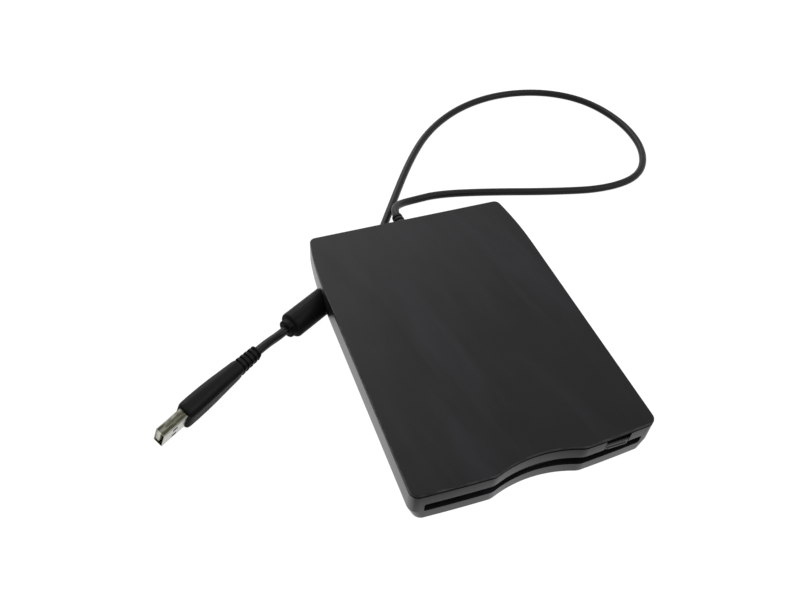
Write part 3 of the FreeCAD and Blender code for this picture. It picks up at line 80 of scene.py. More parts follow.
def mesh_piece(name, points, faces, sharp_degrees=40):
    """Mesh object out of points in metres, smooth apart from its sharp edges."""
    data = bpy.data.meshes.new(name)
    data.from_pydata([tuple(p) for p in points], [], faces)
    data.update()
    for polygon in data.polygons:
        polygon.use_smooth = True
    data.set_sharp_from_angle(angle=math.radians(sharp_degrees))
    return link(name, data)


def add_loft(points, faces, rings, cap_start=True, cap_end=True):
    """Skin over rings that have equal counts of points, added to the lists."""
    count = len(rings[0])
    first = len(points)
    for ring in rings:
        points.extend(ring)
    for k in range(len(rings) - 1):
        for i in range(count):
            j = (i + 1) % count
            a = first + k * count
            faces.append((a + i, a + j, a + count + j, a + count + i))
    if cap_start:
        faces.append(tuple(first + i for i in reversed(range(count))))
    if cap_end:
        last = first + (len(rings) - 1) * count
        faces.append(tuple(last + i for i in range(count)))


def lathe_rings(profile, origin, axis, side, count, radius_at=None):
    """Rings round an axis for a profile of (distance along the axis, radius), in millimetres."""
    axis = Vector(axis).normalized()
    side = Vector(side)
    side = (side - axis * side.dot(axis)).normalized()
    up = axis.cross(side)
    rings = []
    for along, radius in profile:
        ring = []
        for i in range(count):
            angle = 2 * math.pi * i / count
            r = radius if radius_at is None else radius_at(along, radius, angle)
            ring.append((Vector(origin) + axis * along
                         + (side * math.cos(angle) + up * math.sin(angle)) * r) * MM)
        rings.append(ring)
    return rings


def rounded(profile_start, profile_end, convex_at, steps):
    """Quarter round between two profile points, bulging towards a third."""
    out = []
    for k in range(steps + 1):
        t = math.radians(90) * k / steps
        share_a = 1 - math.sin(t)
        share_b = 1 - math.cos(t)
        out.append(tuple(c + share_a * (a - c) + share_b * (b - c)
                         for a, b, c in zip(profile_start, profile_end, convex_at)))
    return out


# Cord: the route's points are the ones the solids follow, in millimetres

CORD_RADIUS = 2.0
cord_route = [
    (0.0, 83.0, 9.0), (0.8, 90.1, 8.3), (7.2, 96.4, 5.0), (16.5, 99.8, 2.5),
    (31.0, 101.1, 2.05), (57.0, 95.4, 2.05), (92.0, 85.3, 2.05), (122.5, 78.8, 2.05),
    (148.0, 83.4, 2.05), (163.2, 103.5, 2.05), (166.3, 130.5, 2.05), (157.0, 158.0, 2.05),
    (136.0, 174.8, 2.05), (107.0, 180.6, 2.05), (77.0, 174.6, 2.05), (49.0, 157.6, 2.05),
    (26.8, 133.0, 2.05), (0.3, 94.6, 2.05), (-16.6, 69.6, 2.05), (-31.0, 56.2, 2.05),
    (-41.0, 47.9, 2.5), (-48.74, 43.27, 6.0), (-53.94, 40.29, 6.0),
    (-71.66, 30.15, 6.0), (-76.6, 27.3, 6.0), (-82.4, 22.6, 8.75), (-87.23, 19.49, 8.75),
]


def smooth_curve(name, route, radius, ring_steps=5):
    """Round cord on a smooth line that has the route's points as its control points."""
    data = bpy.data.curves.new(name, "CURVE")
    data.dimensions = "3D"
    spline = data.splines.new("NURBS")
    spline.points.add(len(route) - 1)
    for point, place in zip(spline.points, route):
        point.co = (*mm(*place), 1.0)
    spline.order_u = 3
    spline.use_endpoint_u = True
    spline.resolution_u = 14
    data.bevel_depth = radius * MM
    data.bevel_resolution = ring_steps
    data.use_fill_caps = True
    return link(name, data)


usb_cord = smooth_curve("usb_cord", cord_route, CORD_RADIUS)


# Materials

def shade(value, factor):
    return tuple(min(1.0, c * factor) for c in value) + (1.0,)


class Surface:
    """Node material that is built up one layer at a time, in the object's own coordinates."""

    def __init__(self, name):
        self.material = bpy.data.materials.new(name)
        self.material.use_nodes = True
        self.nodes = self.material.node_tree.nodes
        self.links = self.material.node_tree.links
        self.shader = self.nodes["Principled BSDF"]
        coordinates = self.nodes.new("ShaderNodeTexCoord")
        self.place = coordinates.outputs["Object"]
        self.normal = coordinates.outputs["Normal"]

    def mapped(self, scale=(1, 1, 1), turn=(0, 0, 0)):
        """The object's coordinates, turned first and then stretched."""
        vector = self.place
        for name, value in (("Rotation", [math.radians(a) for a in turn]), ("Scale", scale)):
            node = self.nodes.new("ShaderNodeMapping")
            node.inputs[name].default_value = value
            self.links.new(vector, node.inputs["Vector"])
            vector = node.outputs["Vector"]
        return vector

    def noise(self, scale, detail=3.0, rough=0.5, stretch=None, turn=(0, 0, 0), distort=0.0):
        node = self.nodes.new("ShaderNodeTexNoise")
        node.inputs["Scale"].default_value = scale
        node.inputs["Detail"].default_value = detail
        node.inputs["Roughness"].default_value = rough
        node.inputs["Distortion"].default_value = distort
        vector = self.place if stretch is None else self.mapped(stretch, turn)
        self.links.new(vector, node.inputs["Vector"])
        return node.outputs["Fac"]

    def spread(self, factor, low, high, start=0.3, end=0.7):
        """Number that runs from low to high while the factor runs from start to end."""
        node = self.nodes.new("ShaderNodeMapRange")
        node.inputs["From Min"].default_value = start
        node.inputs["From Max"].default_value = end
        node.inputs["To Min"].default_value = low
        node.inputs["To Max"].default_value = high
        self.links.new(factor, node.inputs["Value"])
        return node.outputs["Result"]

    def part_of(self, vector, name):
        node = self.nodes.new("ShaderNodeSeparateXYZ")
        self.links.new(vector, node.inputs[0])
        return node.outputs[name]

    def facing(self, name, start, end):
        """1 on faces that look along an axis, either way, and 0 on faces that look across it."""
        node = self.nodes.new("ShaderNodeMath")
        node.operation = "ABSOLUTE"
        self.links.new(self.part_of(self.normal, name), node.inputs[0])
        return self.spread(node.outputs[0], 0.0, 1.0, start, end)

    def flank(self, start=0.25, end=0.75):
        """1 on faces that stand upright, 0 on faces that look up or down."""
        return self.spread(self.facing("Z", start, end), 1.0, 0.0, 0.0, 1.0)

    def band(self, low, high, soft=0.00008):
        """1 between two heights in metres, 0 above and below."""
        z = self.part_of(self.place, "Z")
        return self.times(self.spread(z, 0.0, 1.0, low - soft, low + soft),
                          self.spread(z, 1.0, 0.0, high - soft, high + soft))

    def rim_of(self, height):
        """1 on the rounded edge round the top of the lid, 0 elsewhere."""
        tilt = self.facing("Z", 0.0, 1.0)
        edge = self.times(self.spread(tilt, 0.0, 1.0, 0.25, 0.5),
                          self.spread(tilt, 1.0, 0.0, 0.86, 0.97))
        return self.times(edge, self.spread(height, 0.0, 1.0, 0.01715, 0.0174))

    def times(self, a, b):
        node = self.nodes.new("ShaderNodeMath")
        node.operation = "MULTIPLY"
        for socket, value in zip(node.inputs, (a, b)):
            if isinstance(value, (float, int)):
                socket.default_value = value
            else:
                self.links.new(value, socket)
        return node.outputs[0]

    def blend(self, factor, a, b):
        """Number between two others that are fixed or come out of nodes."""
        node = self.nodes.new("ShaderNodeMix")
        node.data_type = "FLOAT"
        for socket, value in ((0, factor), (2, a), (3, b)):
            if isinstance(value, (float, int)):
                node.inputs[socket].default_value = value
            else:
                self.links.new(value, node.inputs[socket])
        return node.outputs[0]

    def ramp(self, factor, stops):
        node = self.nodes.new("ShaderNodeValToRGB")
        elements = node.color_ramp.elements
        while len(elements) < len(stops):
            elements.new(0.5)
        for element, (position, colour) in zip(elements, stops):
            element.position = position
            element.color = colour
        self.links.new(factor, node.inputs["Fac"])
        return node.outputs["Color"]

    def mix(self, factor, a, b):
        """Colour between two others."""
        node = self.nodes.new("ShaderNodeMix")
        node.data_type = "RGBA"
        for socket, value in ((0, factor), (6, a), (7, b)):
            if isinstance(value, (float, int, tuple)):
                node.inputs[socket].default_value = value
            else:
                self.links.new(value, node.inputs[socket])
        return node.outputs[2]

    def colour(self, value):
        self.links.new(value, self.shader.inputs["Base Color"])

    def gloss(self, value):
        self.links.new(value, self.shader.inputs["Roughness"])

    def shine(self, value):
        self.links.new(value, self.shader.inputs["Specular IOR Level"])

    def bump(self, height, distance, strength=1.0, under=None):
        node = self.nodes.new("ShaderNodeBump")
        node.inputs["Strength"].default_value = strength
        node.inputs["Distance"].default_value = distance
        self.links.new(height, node.inputs["Height"])
        if under is not None:
            self.links.new(under, node.inputs["Normal"])
        self.links.new(node.outputs["Normal"], self.shader.inputs["Normal"])
        return node.outputs["Normal"]

    def fixed(self, **values):
        for name, value in values.items():
            self.shader.inputs[name.replace("_", " ")].default_value = value


def plastic(name, base, patch, rough, grain, depth, level=0.5, spread=0.15, flank=None):
    """Moulded plastic or rubber: patchy colour, uneven gloss and a fine moulded grain."""
    s = Surface(name)
    cloud = s.noise(patch, 4.0, 0.6)
    s.colour(s.ramp(cloud, [(0.3, shade(base, 1 - spread)), (0.7, shade(base, 1 + spread))]))
    s.gloss(s.spread(s.noise(patch * 2.3, 5.0, 0.65), rough - 0.05, rough + 0.06))
    s.bump(s.noise(grain, 2.0, 0.6), depth)
    s.fixed(Specular_IOR_Level=level, IOR=1.5)
    if flank is not None:
        s.shine(s.blend(s.flank(0.4, 0.85), level, flank))
    return s


def metal(name, base, rough, stretch, scale=900, depth=0.000004, spread=0.12, tint=None):
    """Rolled, turned or plated metal: fine lines along the way it was worked, and dull patches."""
    s = Surface(name)
    lines = s.noise(scale, 2.0, 0.6, stretch=stretch)
    cloud = s.noise(60, 4.0, 0.6)
    low = shade(base, 1 - spread)
    high = shade(base if tint is None else tint, 1 + spread)
    s.colour(s.mix(s.spread(lines, 0.0, 1.0), s.ramp(cloud, [(0.3, low), (0.7, high)]),
                   shade(base, 1.0)))
    s.gloss(s.spread(lines, rough - 0.06, rough + 0.08))
    s.bump(lines, depth)
    s.fixed(Metallic=1.0)
    return s


# Painted highlight: pale colour for specks along the lid's rounded top edge
RIM_HIGHLIGHT = (0.040, 0.040, 0.041, 1)
# Painted shade: near-black colour and height band for the seam's shadow under the rim, where the
# shine is also taken away
RIM_SHADE_COLOUR = (0.0015, 0.0015, 0.0015, 1)
RIM_SHADE_BAND = (0.01650, 0.01728)
SMUDGE = (0.0112, 0.0109, 0.0131, 1)
CASE_BLACKS = ((0.0040, 0.0042, 0.0040, 1), (0.0080, 0.0082, 0.0080, 1))
TOP_SHINE = 0.14
FRONT_SHINE = 0.24
SIDE_SHINE = 1.0
WALL_TOP = 0.0165


def case_surface(name):
    """Satin black moulding: fine grained flat faces, smoother sides, painted shade in a dark line
    under the rim, painted highlight specks on the rim's rounded edge.
    """
    s = Surface(name)
    cloud = s.noise(26, 4.0, 0.55)
    ground = s.ramp(cloud, [(0.30, CASE_BLACKS[0]), (0.70, CASE_BLACKS[1])])
    streaks = s.noise(32, 3.0, 0.5, stretch=(0.5, 2.4, 1.0), turn=(0, 0, -100), distort=0.3)
    tinted = s.mix(s.spread(streaks, 0.0, 1.0, 0.46, 0.70), ground, SMUDGE)
    flank = s.flank()
    # Painted shade: dark band round the upright faces under the rim, its shine set to nothing
    rim_shade = s.times(s.band(*RIM_SHADE_BAND), flank)
    height = s.part_of(s.place, "Z")
    # Painted highlight: paler specks on the lid's rounded top edge, broken up by noise
    painted_reflection = s.times(s.rim_of(height), s.spread(s.noise(240, 3.0, 0.6), 0.1, 1.0, 0.40, 0.62))
    s.colour(s.mix(rim_shade, s.mix(painted_reflection, tinted, RIM_HIGHLIGHT), RIM_SHADE_COLOUR))
    front = s.spread(height, FRONT_SHINE * 1.5, FRONT_SHINE * 0.4, 0.003, WALL_TOP)
    side = s.spread(height, SIDE_SHINE, SIDE_SHINE * 0.45, 0.004, WALL_TOP)
    upright = s.blend(s.facing("X", 0.6, 0.9), front, side)
    s.shine(s.blend(rim_shade, s.blend(flank, TOP_SHINE, upright), 0.0))
    wiped = s.noise(30, 5.0, 0.6, stretch=(0.4, 1.8, 1.0), turn=(0, 0, -96))
    s.gloss(s.blend(flank, s.spread(wiped, 0.36, 0.48, 0.25, 0.75),
                    s.spread(wiped, 0.26, 0.36, 0.25, 0.75)))
    wide = s.bump(s.noise(900, 2.0, 0.5), 0.000010, 0.8)
    s.bump(s.noise(3200, 2.0, 0.6), 0.000006, 0.8, under=wide)
    s.fixed(IOR=1.5)
    return s


BUTTON_RIDGE = (0.01070, 0.01150)


def button_surface():
    """Black button with a painted highlight, a paler band, on the ridge under its upper half."""
    s = Surface("button_plastic")
    cloud = s.noise(90, 4.0, 0.6)
    ground = s.ramp(cloud, [(0.3, (0.0042, 0.0042, 0.0046, 1)),
                            (0.7, (0.0058, 0.0058, 0.0064, 1))])
    # Painted highlight: paler band along the ridge, broken up a little by noise
    painted_reflection = s.times(s.band(*BUTTON_RIDGE), s.spread(s.noise(400, 3.0), 0.7, 1.0))
    s.colour(s.mix(painted_reflection, ground, (0.060, 0.060, 0.064, 1)))
    s.gloss(s.spread(s.noise(200, 5.0, 0.65), 0.30, 0.40))
    s.bump(s.noise(3000, 2.0, 0.6), 0.000004)
    s.fixed(Specular_IOR_Level=0.25, IOR=1.5)
    return s


PLUG_YAW = 33.2


def nickel_surface():
    """Nickel plate of the plug: painted dark olive reflection with paler streaks on top, and a
    paler painted reflection on the faces that lean down.
    """
    s = Surface("nickel_plate")
    streaks = s.noise(700, 3.0, 0.6, stretch=(0.12, 1.0, 1.0), turn=(0, 0, -PLUG_YAW))
    cloud = s.noise(420, 4.0, 0.6)
    # Painted reflection: very dark olive top with paler streaks
    painted_reflection = s.mix(s.spread(streaks, 0.0, 1.0, 0.50, 0.72), (0.072, 0.070, 0.046, 1),
                 (0.40, 0.40, 0.34, 1))
    wide = s.mix(s.spread(cloud, 0.0, 0.7), painted_reflection, (0.050, 0.049, 0.034, 1))
    # Painted reflection: the upright faces paler than the top
    sides = s.mix(s.spread(streaks, 0.0, 1.0), (0.20, 0.20, 0.18, 1), (0.42, 0.42, 0.39, 1))
    s.colour(s.mix(s.flank(0.5, 0.8), wide, sides))
    s.gloss(s.spread(streaks, 0.16, 0.34))
    s.bump(streaks, 0.000006)
    s.fixed(Metallic=1.0)
    return s


def board_surface():
    """Green solder mask over copper tracks, with bare pads showing through as dots."""
    s = Surface("solder_mask")
    bricks = s.nodes.new("ShaderNodeTexBrick")
    bricks.inputs["Scale"].default_value = 260
    bricks.inputs["Mortar Size"].default_value = 0.016
    bricks.inputs["Color1"].default_value = (0.006, 0.070, 0.030, 1)
    bricks.inputs["Color2"].default_value = (0.008, 0.085, 0.036, 1)
    bricks.inputs["Mortar"].default_value = (0.022, 0.155, 0.065, 1)
    s.links.new(s.mapped((1, 1, 1), (0, 0, 45)), bricks.inputs["Vector"])
    dots = s.nodes.new("ShaderNodeTexVoronoi")
    dots.inputs["Scale"].default_value = 330
    s.links.new(s.place, dots.inputs["Vector"])
    pads = s.ramp(dots.outputs["Distance"], [(0.10, (1, 1, 1, 1)), (0.13, (0, 0, 0, 1))])
    s.colour(s.mix(pads, bricks.outputs["Color"], (0.52, 0.50, 0.44, 1)))
    s.gloss(s.spread(s.noise(120, 3.0), 0.26, 0.40))
    s.bump(bricks.outputs["Fac"], 0.00002, 0.5)
    return s


def winding_surface():
    """Varnished copper wire, one ridge to each turn."""
    s = Surface("copper_winding")
    cloud = s.noise(500, 3.0)
    s.colour(s.ramp(cloud, [(0.3, (0.42, 0.13, 0.045, 1)), (0.7, (0.66, 0.26, 0.10, 1))]))
    s.gloss(s.spread(s.noise(1500, 2.0), 0.22, 0.38))
    s.bump(s.noise(6000, 1.0), 0.000003)
    s.fixed(Metallic=1.0, Coat_Weight=0.5, Coat_Roughness=0.15)
    return s


surfaces = {
    "case_black": case_surface("satin_case"),
    "door_black": plastic("door_plastic", (0.0120, 0.0120, 0.0125), 60, 0.45, 2600, 0.000006, 0.3),
    "button_black": button_surface(),
    "rubber_black": plastic("foot_rubber", (0.008, 0.008, 0.008), 120, 0.72, 1800, 0.00002, 0.2),
    "cord_black": plastic("cord_vinyl", (0.0050, 0.0050, 0.0053), 90, 0.36, 1500, 0.000012, 0.16),
    "bead_black": plastic("bead_plastic", (0.0064, 0.0064, 0.0068), 70, 0.40, 1700, 0.000010, 0.06,
                          flank=0.02),
    "grip_black": plastic("grip_vinyl", (0.0086, 0.0086, 0.0092), 80, 0.38, 2200, 0.000014, 0.08,
                          flank=0.006),
    "shell_nickel": nickel_surface(),
    "tongue_white": plastic("tongue_plastic", (0.70, 0.68, 0.56), 300, 0.42, 3000, 0.000004,
                            spread=0.06),
    "contact_gold": metal("gold_flash", (0.80, 0.56, 0.22), 0.22, (0.3, 1, 1)),
    "screw_steel": metal("screw_zinc", (0.27, 0.27, 0.28), 0.38, (1, 1, 0.2), 1200),
    "sheet_steel": metal("rolled_zinc", (0.27, 0.285, 0.30), 0.38, (1.0, 0.06, 1.0), 900,
                         tint=(0.31, 0.305, 0.28)),
    "shaft_steel": metal("ground_steel", (0.44, 0.44, 0.44), 0.20, (1.0, 1.0, 0.1), 2000),
    "spring_steel": metal("spring_wire", (0.36, 0.36, 0.36), 0.28, (0.2, 1, 1), 3000),
    "board_green": board_surface(),
    "chip_black": plastic("chip_resin", (0.018, 0.018, 0.019), 300, 0.62, 5200, 0.000010, 0.35),
    "can_metal": metal("drawn_can", (0.36, 0.37, 0.385), 0.32, (1, 0.1, 1), 700),
    "copper_wire": winding_surface(),
    "bronze": metal("sintered_bronze", (0.50, 0.31, 0.13), 0.42, (1, 1, 1), 2600, 0.00001),
    "core_steel": metal("laminated_steel", (0.25, 0.25, 0.26), 0.46, (0.3, 0.3, 6), 900),
    "magnet_dark": plastic("bonded_magnet", (0.030, 0.030, 0.032), 200, 0.55, 4000, 0.00001),
    "cast_metal": metal("cast_alloy", (0.30, 0.31, 0.32), 0.50, (1, 1, 1), 1500, 0.00002),
    "inner_plastic": plastic("filled_plastic", (0.020, 0.020, 0.022), 140, 0.55, 2600, 0.00001),
    "head_ceramic": plastic("head_ceramic", (0.075, 0.060, 0.050), 260, 0.18, 4000, 0.000001),
    "socket_white": plastic("socket_nylon", (0.66, 0.64, 0.56), 200, 0.46, 2600, 0.000006,
                            spread=0.06),
    "cable_film": plastic("cable_film", (0.52, 0.48, 0.37), 160, 0.34, 2600, 0.000004,
                          spread=0.08),
    "wire_cover": plastic("wire_red", (0.42, 0.012, 0.012), 200, 0.40, 2600, 0.000006),
    "wire_white": plastic("wire_white", (0.62, 0.62, 0.60), 200, 0.40, 2600, 0.000006, spread=0.06),
    "wire_green": plastic("wire_green", (0.012, 0.16, 0.035), 200, 0.40, 2600, 0.000006),
    "wire_black": plastic("wire_black", (0.012, 0.012, 0.012), 200, 0.40, 2600, 0.000006),
}

node_slots = {
    "case_black": ["top_cover", "base_cover"],
    "rubber_black": ["rubber_feet"],
    "door_black": ["dust_door"],
    "button_black": ["eject_button"],
    "screw_steel": ["case_screws", "frame_screws"],
    "spring_steel": ["door_spring", "eject_springs"],
    "sheet_steel": ["chassis", "top_shield", "disk_carrier", "eject_slider", "shutter_lever",
                    "rotor_cup"],
    "shaft_steel": ["guide_pins", "lever_rivet", "spindle_shaft", "spindle_hub", "drive_pin",
                    "lead_screw", "guide_rods", "arm_pin"],
    "board_green": ["motor_board", "main_board", "usb_board"],
    "bronze": ["spindle_bearing"],
    "core_steel": ["stator_core"],
    "copper_wire": ["stator_coils"],
    "magnet_dark": ["rotor_magnet", "stepper_rotor"],
    "can_metal": ["stepper_can", "crystal_can", "capacitors"],
    "inner_plastic": ["screw_bearing", "rod_clamps", "upper_head_arm", "write_protect_pin",
                      "density_pin", "disk_present_pin"],
    "cast_metal": ["head_carriage"],
    "head_ceramic": ["lower_head", "upper_head"],
    "chip_black": ["board_chips", "switch_housings"],
    "socket_white": ["cable_sockets", "wire_socket"],
    "cable_film": ["flat_cable"],
    "wire_cover": ["inner_wires"],
    "grip_black": ["strain_relief", "plug_overmould"],
    "bead_black": ["cord_bead"],
    "shell_nickel": ["plug_shell"],
    "tongue_white": ["plug_tongue"],
    "contact_gold": ["plug_contacts"],
    "cord_black": ["usb_cord_loop", "usb_cord_tail"],
}
for slot, names in node_slots.items():
    for name in names:
        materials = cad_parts[name].data.materials
        materials.clear()
        materials.append(surfaces[slot].material)


def finish_piece(piece, body, slot, *replaced):
    """Material, body, slot and replaced nodes of a new piece."""
    piece.data.materials.append(surfaces[slot].material)
    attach(piece, body)
    if replaced:
        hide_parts(*replaced)
    return piece


# Strain relief on the rear wall: flange inside the wall, neck through it, ribbed cone outside

RELIEF_Z = 9.0
REAR_Y = 71.0
RELIEF_LENGTH = 12
RELIEF_PITCH = 2.4
RELIEF_CORE = 2.1
FLANGE_FLOOR = 6.55


def relief_piece():
    profile = [(68.0, 4.2), (69.2, 4.2), (69.2, 2.9), (70.98, 2.9), (REAR_Y, 3.2)]
    for k in range(4):
        start = REAR_Y + RELIEF_PITCH * (k + 1)
        radius = 3.2 - 0.6 * (start - REAR_Y) / RELIEF_LENGTH
        profile += [(start - 0.15, radius), (start, radius - 0.12), (start + 0.08, RELIEF_CORE),
                    (start + 0.82, RELIEF_CORE), (start + 0.9, radius - 0.14),
                    (start + 1.05, radius - 0.04)]
    profile += [(82.75, 2.62), (82.93, 2.55), (83.0, 2.42), (83.0, 2.08), (82.7, 2.02)]
    rings = lathe_rings(profile, (0, 0, RELIEF_Z), (0, 1, 0), (1, 0, 0), 48)
    for ring in rings[:2]:
        for point in ring:
            point.z = max(point.z, FLANGE_FLOOR * MM)
    points, faces = [], []
    add_loft(points, faces, rings)
    return mesh_piece("cord_relief", points, faces, 35)


relief = finish_piece(relief_piece(), "case", "grip_black", "strain_relief")


# Bead on the cord: a clip-on shell in two halves, against the case at one end and with a slotted
# collar at the other

BEAD_RADIUS = 6.0
BEAD_ROUND = 1.4
BEAD_STEPS = 192
NECK_RADIUS = 5.0
# The case's left side: its place with the gap to the bead, and how it is drawn in below
BEAD_END_X = -52.15
SIDE_DRAFT, DRAFT_HEIGHT, DRAFT_TOP = 2.1, 5.5, 6.5
# The pocket in that side, which the neck enters
POCKET_REAR, POCKET_TOP = 45.6, 9.1


def bead_piece():
    inner = Vector((-56.2, 39.0, BEAD_RADIUS))
    outer = Vector((-69.4, 31.44, BEAD_RADIUS))
    axis = (outer - inner).normalized()
    length = (outer - inner).length
    collar = 2.6
    profile = [(0.0, BEAD_RADIUS), (length - BEAD_ROUND, BEAD_RADIUS)]
    profile += rounded((length - BEAD_ROUND, BEAD_RADIUS), (length, BEAD_RADIUS - BEAD_ROUND),
                       (length, BEAD_RADIUS), 8)[1:]
    profile += [(length, 4.35), (length + 0.25, 4.2)]
    profile += rounded((length + collar - 0.6, 4.2), (length + collar, 3.6),
                       (length + collar, 4.2), 4)
    profile += [(length + collar, 2.05)]

    def radius_at(along, radius, angle):
        seam = min(abs(math.sin(angle)), 1.0) * radius
        if radius > 4.25:
            return radius - (0.12 if seam < 0.11 else 0.0)
        notch = abs(math.sin(2 * (angle + math.radians(45))))
        if along > length + 0.5 and radius > 3.0 and notch < 0.24:
            return 2.9
        return radius

    rings = lathe_rings(profile, inner, axis, (0, 0, 1), BEAD_STEPS, radius_at)
    # The inner end follows the case side, and its neck enters the pocket
    ends = []
    for radius, back in ((2.05, -2.3), (4.7, -2.3), (NECK_RADIUS, -2.0), (NECK_RADIUS, 0.0),
                         (5.6, 0.0), (5.92, 0.04), (BEAD_RADIUS, 0.2)):
        ring = lathe_rings([(0.0, radius)], inner, axis, (0, 0, 1), BEAD_STEPS, radius_at)[0]
        for point in ring:
            below = (DRAFT_TOP - point.z / MM) / DRAFT_HEIGHT
            drawn_in = SIDE_DRAFT * min(max(below, 0.0), 1.0)
            point += axis * (((drawn_in - back + BEAD_END_X) * MM - point.x) / axis.x)
            if radius <= NECK_RADIUS:
                point.y = min(point.y, POCKET_REAR * MM)
                point.z = min(point.z, POCKET_TOP * MM)
        ends.append(ring)
    points, faces = [], []
    add_loft(points, faces, ends + rings[1:])
    return mesh_piece("ferrite_bead", points, faces, 32)


bead = finish_piece(bead_piece(), "case", "bead_black", "cord_bead")


# Plug, in its own axes: X back along the cord, Y its height, Z its width

PLUG_TIP = (-132.0, -9.8, 8.75)
PLUG_LEAN = 20.8
plug_matrix = (Matrix.Translation(Vector(PLUG_TIP))
               @ Matrix.Rotation(math.radians(PLUG_YAW), 4, "Z")
               @ Matrix.Rotation(math.radians(PLUG_LEAN), 4, "X"))


def plug_ring(x, width, height, radius, seam=0.0):
    """Rounded rectangle across the plug, with a raised moulding seam on its narrow sides."""
    hy, hz = height / 2, width / 2
    radius = min(radius, hy - 0.35, hz - 0.35)
    corner_steps = 7
    points = []
    for sy, sz, start in ((1, 1, 0), (-1, 1, 90), (-1, -1, 180), (1, -1, 270)):
        cy, cz = sy * (hy - radius), sz * (hz - radius)
        for k in range(corner_steps + 1):
            angle = math.radians(start + 90 * k / corner_steps)
            points.append((cy + radius * math.cos(angle), cz + radius * math.sin(angle)))
        if start in (0, 180):
            for share in (0.5, 0.12, 0.05, -0.05, -0.12, -0.5):
                lift = seam if abs(share) < 0.1 else 0.0
                points.append((sy * share * (hy - radius), sz * (hz + lift)))
        else:
            for share in (0.8, 0.4, 0.0, -0.4, -0.8):
                points.append((sy * hy, sz * share * (hz - radius)))
    return [(plug_matrix @ Vector((x, y, z))) * MM for y, z in points]


def blended(stations, x):
    """Values at x, between those of the stations of (x, values) on either side of it."""
    for index in range(len(stations) - 1):
        x0, a = stations[index]
        x1, b = stations[index + 1]
        if x <= x1:
            t = (x - x0) / (x1 - x0)
            return [p + (q - p) * t for p, q in zip(a, b)]
    return stations[-1][1]


GRIP_FRONT, NECK_START, NECK_END = 12.0, 42.0, 53.5
NECK_RIBS = 5


def grip_piece():
    body_stations = [
        (12.0, (14.0, 6.0, 1.7)), (12.25, (14.9, 6.9, 2.1)), (12.9, (15.7, 7.5, 2.5)),
        (14.0, (16.0, 7.8, 2.8)), (18.0, (16.15, 7.9, 2.9)), (23.0, (16.05, 7.75, 2.9)),
        (28.0, (15.6, 7.4, 2.8)), (32.0, (14.5, 7.05, 2.7)), (36.0, (12.9, 6.75, 2.5)),
        (40.0, (11.25, 6.5, 2.3)), (41.6, (10.65, 6.4, 2.2)), (42.0, (10.3, 6.15, 2.1)),
    ]
    rings = [plug_ring(15.0, 12.1, 4.6, 0.7), plug_ring(12.05, 12.1, 4.6, 0.7)]
    x = GRIP_FRONT
    while x < NECK_START + 0.01:
        width, height, radius = blended(body_stations, x)
        rings.append(plug_ring(x, width, height, radius, 0.07))
        x += 0.25 if x < 14 else 1.0
    rib_pitch = (NECK_END - NECK_START) / NECK_RIBS

    def taper(at):
        share = (at - NECK_START) / (NECK_END - NECK_START)
        return 10.0 - 2.8 * share, 6.0 - 0.4 * share

    for k in range(NECK_RIBS):
        start = NECK_START + k * rib_pitch + 0.5
        for at, inset in ((start - 0.12, 0.0), (start, 0.16), (start + 0.06, 1.3),
                          (start + 0.84, 1.3), (start + 0.9, 0.16), (start + 1.02, 0.0)):
            width, height = taper(at)
            rings.append(plug_ring(at, width - inset, height - inset, 1.9))
    width, height = taper(NECK_END)
    for at, inset in ((53.1, 0.0), (53.38, 0.25), (NECK_END, 0.7), (NECK_END, 1.5)):
        rings.append(plug_ring(at, width - inset, height - inset, 1.8))
    points, faces = [], []
    add_loft(points, faces, rings)
    return mesh_piece("plug_grip", points, faces, 38)


grip = finish_piece(grip_piece(), "case", "grip_black", "plug_overmould")


# Rubber feet, one mesh of four pads with rounded rims

FOOT_RADIUS = 4.0
FOOT_ROUND = 0.35


def feet_piece():
    points, faces = [], []
    low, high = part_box("rubber_feet")
    x = high.x / MM - FOOT_RADIUS
    for y in (low.y / MM + FOOT_RADIUS, high.y / MM - FOOT_RADIUS):
        for side in (1, -1):
            profile = [(1.4, FOOT_RADIUS), (FOOT_ROUND, FOOT_RADIUS)]
            profile += rounded((FOOT_ROUND, FOOT_RADIUS), (0.0, FOOT_RADIUS - FOOT_ROUND),
                               (0.0, FOOT_RADIUS), 5)[1:]
            profile += [(0.0, 2.6), (0.12, 2.4), (0.12, 0.3)]
            rings = lathe_rings(profile, (side * x, y, 0), (0, 0, 1), (1, 0, 0), 48)
            add_loft(points, faces, rings)
    return mesh_piece("foot_pads", points, faces, 35)


finish_piece(feet_piece(), "case", "rubber_black", "rubber_feet")


# Wound and soft pieces inside the case, each inside the outline that its solid has

def coil_rings(centre, axis, side, radius, wire, start, end, turns, steps=14, count=6):
    """Rings along a wire that is wound round an axis from one end to the other."""
    axis, side = Vector(axis), Vector(side)
    up = axis.cross(side)
    rings = []
    total = int(turns * steps)
    section = [2 * math.pi * i / count for i in range(count)]
    for k in range(total + 1):
        angle = 2 * math.pi * k / steps
        outward = side * math.cos(angle) + up * math.sin(angle)
        along = start + wire + (end - start - 2 * wire) * k / total
        rings.append([(Vector(centre) + outward * (radius + wire * math.cos(a))
                       + axis * (along + wire * math.sin(a))) * MM for a in section])
    return rings


def eject_coils():
    low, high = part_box("eject_springs")
    radius = (high.z - low.z) / MM / 2
    x = high.x / MM - radius
    z = (high.z + low.z) / MM / 2
    points, faces = [], []
    for side in (-1, 1):
        add_loft(points, faces, coil_rings((side * x, 0, z), (0, 1, 0), (1, 0, 0), radius - 0.175,
                                           0.17, low.y / MM, high.y / MM, 62))
    return mesh_piece("eject_coils", points, faces, 60), (x * MM, low.y, z * MM)


coils, coil_anchor = eject_coils()
finish_piece(coils, "case", "spring_steel", "eject_springs")
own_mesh(coils)


